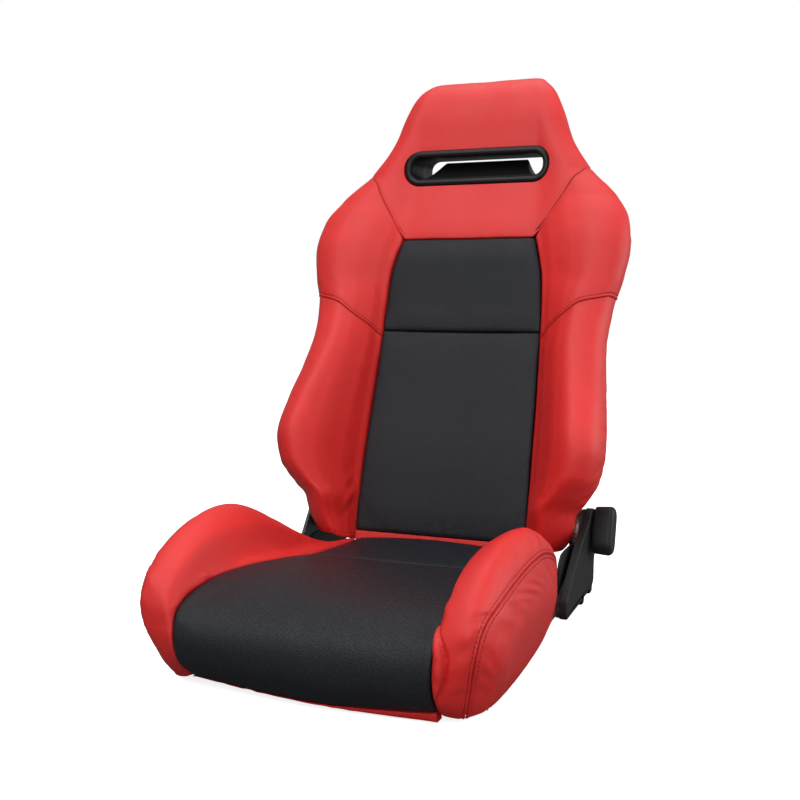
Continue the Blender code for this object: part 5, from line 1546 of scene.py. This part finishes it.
class SEAT_OT_recliner(bpy.types.Operator):
    """Moulded recliner cover, the shields inside both brackets and the hand knob."""
    bl_idname = "seat.recliner"
    bl_label = "Recliner mouldings"

    def execute(self, context):
        hard = context.scene.seat_hardware
        end = arc_points(PIVOT_Y, PIVOT_Z, BRACKET_END_R + MOULDING_MARGIN, 146.0, -8.0, 20)
        front, rear = (np.array(edge) + (DATUM_Y, 0.0) for edge in (MOULDING_FRONT, MOULDING_REAR))
        outline = resampled(np.vstack([front, end, rear]), 0.0022)
        x1 = COVER_X + COVER_THICK
        profile = rounded_edge(COVER_X, x1, 0.0024) + [(x1 + x, step) for x, step in MOULDING_FACE]
        cover = side_plate("recliner_moulding", outline, profile)
        dress(cover, "base", "moulded_plastic", MATERIALS["textured"])
        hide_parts("recliner_cover")
        for tag, edge in SHIELDS.items():
            inside = BRACKET_X - SHIELD_GAP
            profile = rounded_edge(inside - SHIELD_THICK, inside, SHIELD_EDGE)
            if tag == "right":
                profile = [(-x, distance) for x, distance in reversed(profile)]
            shield = side_plate("recliner_shield_" + tag, resampled(np.array(edge), 0.0025), profile)
            dress(shield, "base", "moulded_plastic", MATERIALS["textured"])
        straight = KNOB_HALF_LENGTH - KNOB_HALF_WIDTH
        oblong = np.vstack([arc_points(0.0, straight, KNOB_HALF_WIDTH, 0, 180, 28),
                            arc_points(0.0, -straight, KNOB_HALF_WIDTH, 180, 360, 28)])
        y, z = resampled(oblong, 0.0018).T
        outline = np.stack([PIVOT_Y + y * math.cos(TILT) + z * math.sin(TILT),
                            PIVOT_Z - y * math.sin(TILT) + z * math.cos(TILT)], axis=1)
        dome = np.linspace(0.0, 1.0, 9)
        outer = KNOB_X + KNOB_THICK
        profile = [(KNOB_X + x, step) for x, step in KNOB_BACK]
        profile += [(outer - hard.knob_dome + hard.knob_dome * math.sin(t * math.pi / 2),
                     KNOB_SHRINK * (1 - math.cos(t * math.pi / 2))) for t in dome]
        profile += [(outer + x, step) for x, step in KNOB_FACE]
        knob = side_plate("knob_grip", outline, profile)
        dress(knob, "knob", "moulded_plastic", MATERIALS["grip"])
        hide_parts("recline_knob")
        return {"FINISHED"}


# ------------------------------------------------------------------ steelwork
class SEAT_OT_steelwork(bpy.types.Operator):
    """Finishes of the frame, brackets, gears, springs, bolts and base."""
    bl_idname = "seat.steelwork"
    bl_label = "Steelwork"

    def execute(self, context):
        plated = ("back_spring", "recliner_gear", "bracket_bolt", "bracket_spacer")
        for name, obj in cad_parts.items():
            if obj.hide_render:
                continue
            mat = MATERIALS["zinc"] if name.startswith(plated) else MATERIALS["paint"]
            if not obj.material_slots:
                obj.data.materials.append(mat)
            obj.material_slots[0].material = mat
        return {"FINISHED"}


class SEAT_OT_stitching(bpy.types.Operator):
    """Rows of stitches beside the felled and lapped seams and along the hems."""
    bl_idname = "seat.stitching"
    bl_label = "Stitching"

    def execute(self, context):
        settings = context.scene.seat_covers
        off = settings.stitch_offset
        for tag in ("left", "right"):
            bolster, panel = COVERS["cushion_bolster_" + tag], COVERS["cushion_side_panel_" + tag]
            rows = [(*bolster.line("last", off), 0.004), (*panel.line("first", off), 0.004),
                    (*panel.line("last", HEM_STITCH), 0.010)]
            stitches("stitching_cushion_" + tag, rows, settings, "base", "red_leather",
                     MATERIALS["thread"])
            wing, bolster = COVERS["shoulder_wing_" + tag], COVERS["back_bolster_" + tag]
            rows = [(*wing.line("low", off + LAP_SHIFT), 0.008),
                    (*bolster.line("low", HEM_STITCH), 0.008)]
            stitches("stitching_back_" + tag, rows, settings, "backrest", "red_leather",
                     MATERIALS["thread"])
        return {"FINISHED"}


# ------------------------------------------------------------------ stage
FLOOR_SPAN = 30.0
FLOOR_LIFT = 0.78          # light the floor gives off towards the camera
# Name, setting with its power, place, height of its target on the seat's middle line, size
LAMPS = (("key_lamp", "key", (-0.5, -1.8, 2.8), 0.40, 2.3),
         ("top_lamp", "top", (0.1, 0.5, 3.0), 0.40, 2.4),
         ("fill_lamp", "fill", (1.0, -2.4, 0.9), 0.30, 2.3),
         ("side_lamp", "rim", (2.5, 0.9, 0.9), 0.40, 1.8))


class SEAT_OT_stage(bpy.types.Operator):
    """Pale floor, soft lamps, white surroundings and the camera."""
    bl_idname = "seat.stage"
    bl_label = "Stage"

    def execute(self, context):
        stage = context.scene.seat_stage
        corners = [(x * FLOOR_SPAN, y * FLOOR_SPAN, 0) for x, y in ((-1, -1), (1, -1), (1, 1), (-1, 1))]
        floor = mesh_object("studio_floor", corners, [(0, 1, 2, 3)], smooth=False)
        floor.data.materials.append(floor_material(stage.floor))
        make_world(context.scene, stage.sky)
        for name, power, place, target, size in LAMPS:
            add_lamp(name, place, (0.0, 0.0, target), getattr(stage, power), size)
        data = bpy.data.cameras.new("camera")
        data.lens = stage.lens
        data.sensor_width = 36.0
        camera = bpy.data.objects.new("camera", data)
        context.scene.collection.objects.link(camera)
        camera.location = stage.camera
        camera.rotation_euler = (math.pi / 2 - stage.pitch, 0.0, stage.yaw)
        context.scene.camera = camera
        context.scene.view_settings.view_transform = "Standard"
        return {"FINISHED"}


def floor_material(tone):
    """Matt studio floor with a faint mottle, lifted to white for the camera."""
    mat, tree, shader, place = new_material("studio_floor")
    mottle = node(tree, "TexNoise", {"Vector": place, "Scale": 3.0, "Detail": 3.0})
    surface = blended(tree, mottle.outputs["Fac"], rgba(tone), rgba(tone, 0.985))
    seen = node(tree, "LightPath").outputs["Is Camera Ray"]
    bounce = blended(tree, seen, rgba(tone, 0.15), surface)
    glow = calc(tree, "MULTIPLY", seen, FLOOR_LIFT)
    feed(tree, shader, {"Base Color": bounce, "Roughness": 0.9, "Specular IOR Level": 0.1,
                        "Emission Color": (1, 1, 1, 1), "Emission Strength": glow})
    return mat


def make_world(scene, strength):
    """Even sky light, which the camera alone sees as white."""
    world = bpy.data.worlds.new("studio")
    scene.world = world
    world.use_nodes = True
    tree = world.node_tree
    path = node(tree, "LightPath")
    seen = node(tree, "Mix", {0: path.outputs["Is Camera Ray"], 2: strength, 3: 1.0})
    feed(tree, tree.nodes["Background"], {"Color": (1, 1, 1, 1), "Strength": seen.outputs[0]})


def add_lamp(name, place, target, power, size):
    """Square area lamp that faces a target."""
    data = bpy.data.lights.new(name, "AREA")
    data.energy, data.size = power, size
    lamp = bpy.data.objects.new(name, data)
    bpy.context.scene.collection.objects.link(lamp)
    lamp.location = place
    aim = np.array(target) - np.array(place)
    flat = math.hypot(aim[0], aim[1])
    lamp.rotation_euler = (math.atan2(flat, -aim[2]), 0.0, math.atan2(aim[1], aim[0]) - math.pi / 2)


# ------------------------------------------------------------------ panel and registration
class VIEW3D_PT_seat(bpy.types.Panel):
    """Buttons and sizes of the seat."""
    bl_label = "Bucket Seat"
    bl_space_type = "VIEW_3D"
    bl_region_type = "UI"
    bl_category = "Seat"

    def draw(self, context):
        for operator in OPERATORS:
            self.layout.operator(operator.bl_idname)
        for group in (context.scene.seat_covers, context.scene.seat_hardware, context.scene.seat_stage):
            box = self.layout.box()
            for name in type(group).__annotations__:
                box.prop(group, name)


OPERATORS = (SEAT_OT_materials, SEAT_OT_cushion, SEAT_OT_backrest, SEAT_OT_stitching,
             SEAT_OT_harness_slot, SEAT_OT_recliner, SEAT_OT_steelwork, SEAT_OT_stage)
SETTINGS = {"seat_covers": SeatCoverSettings, "seat_hardware": SeatHardwareSettings,
            "seat_stage": SeatStageSettings}


def register():
    """Register the classes and attach the settings to the scene."""
    for cls in (*SETTINGS.values(), *OPERATORS, VIEW3D_PT_seat):
        bpy.utils.register_class(cls)
    for name, group in SETTINGS.items():
        setattr(bpy.types.Scene, name, bpy.props.PointerProperty(type=group))


def unregister():
    """Detach the settings and remove the classes."""
    for name in SETTINGS:
        delattr(bpy.types.Scene, name)
    for cls in reversed((*SETTINGS.values(), *OPERATORS, VIEW3D_PT_seat)):
        bpy.utils.unregister_class(cls)


def main():
    """Dress the seat."""
    register()
    for operator in OPERATORS:
        group, name = operator.bl_idname.split(".")
        getattr(getattr(bpy.ops, group), name)()


if __name__ == "__main__":
    main()
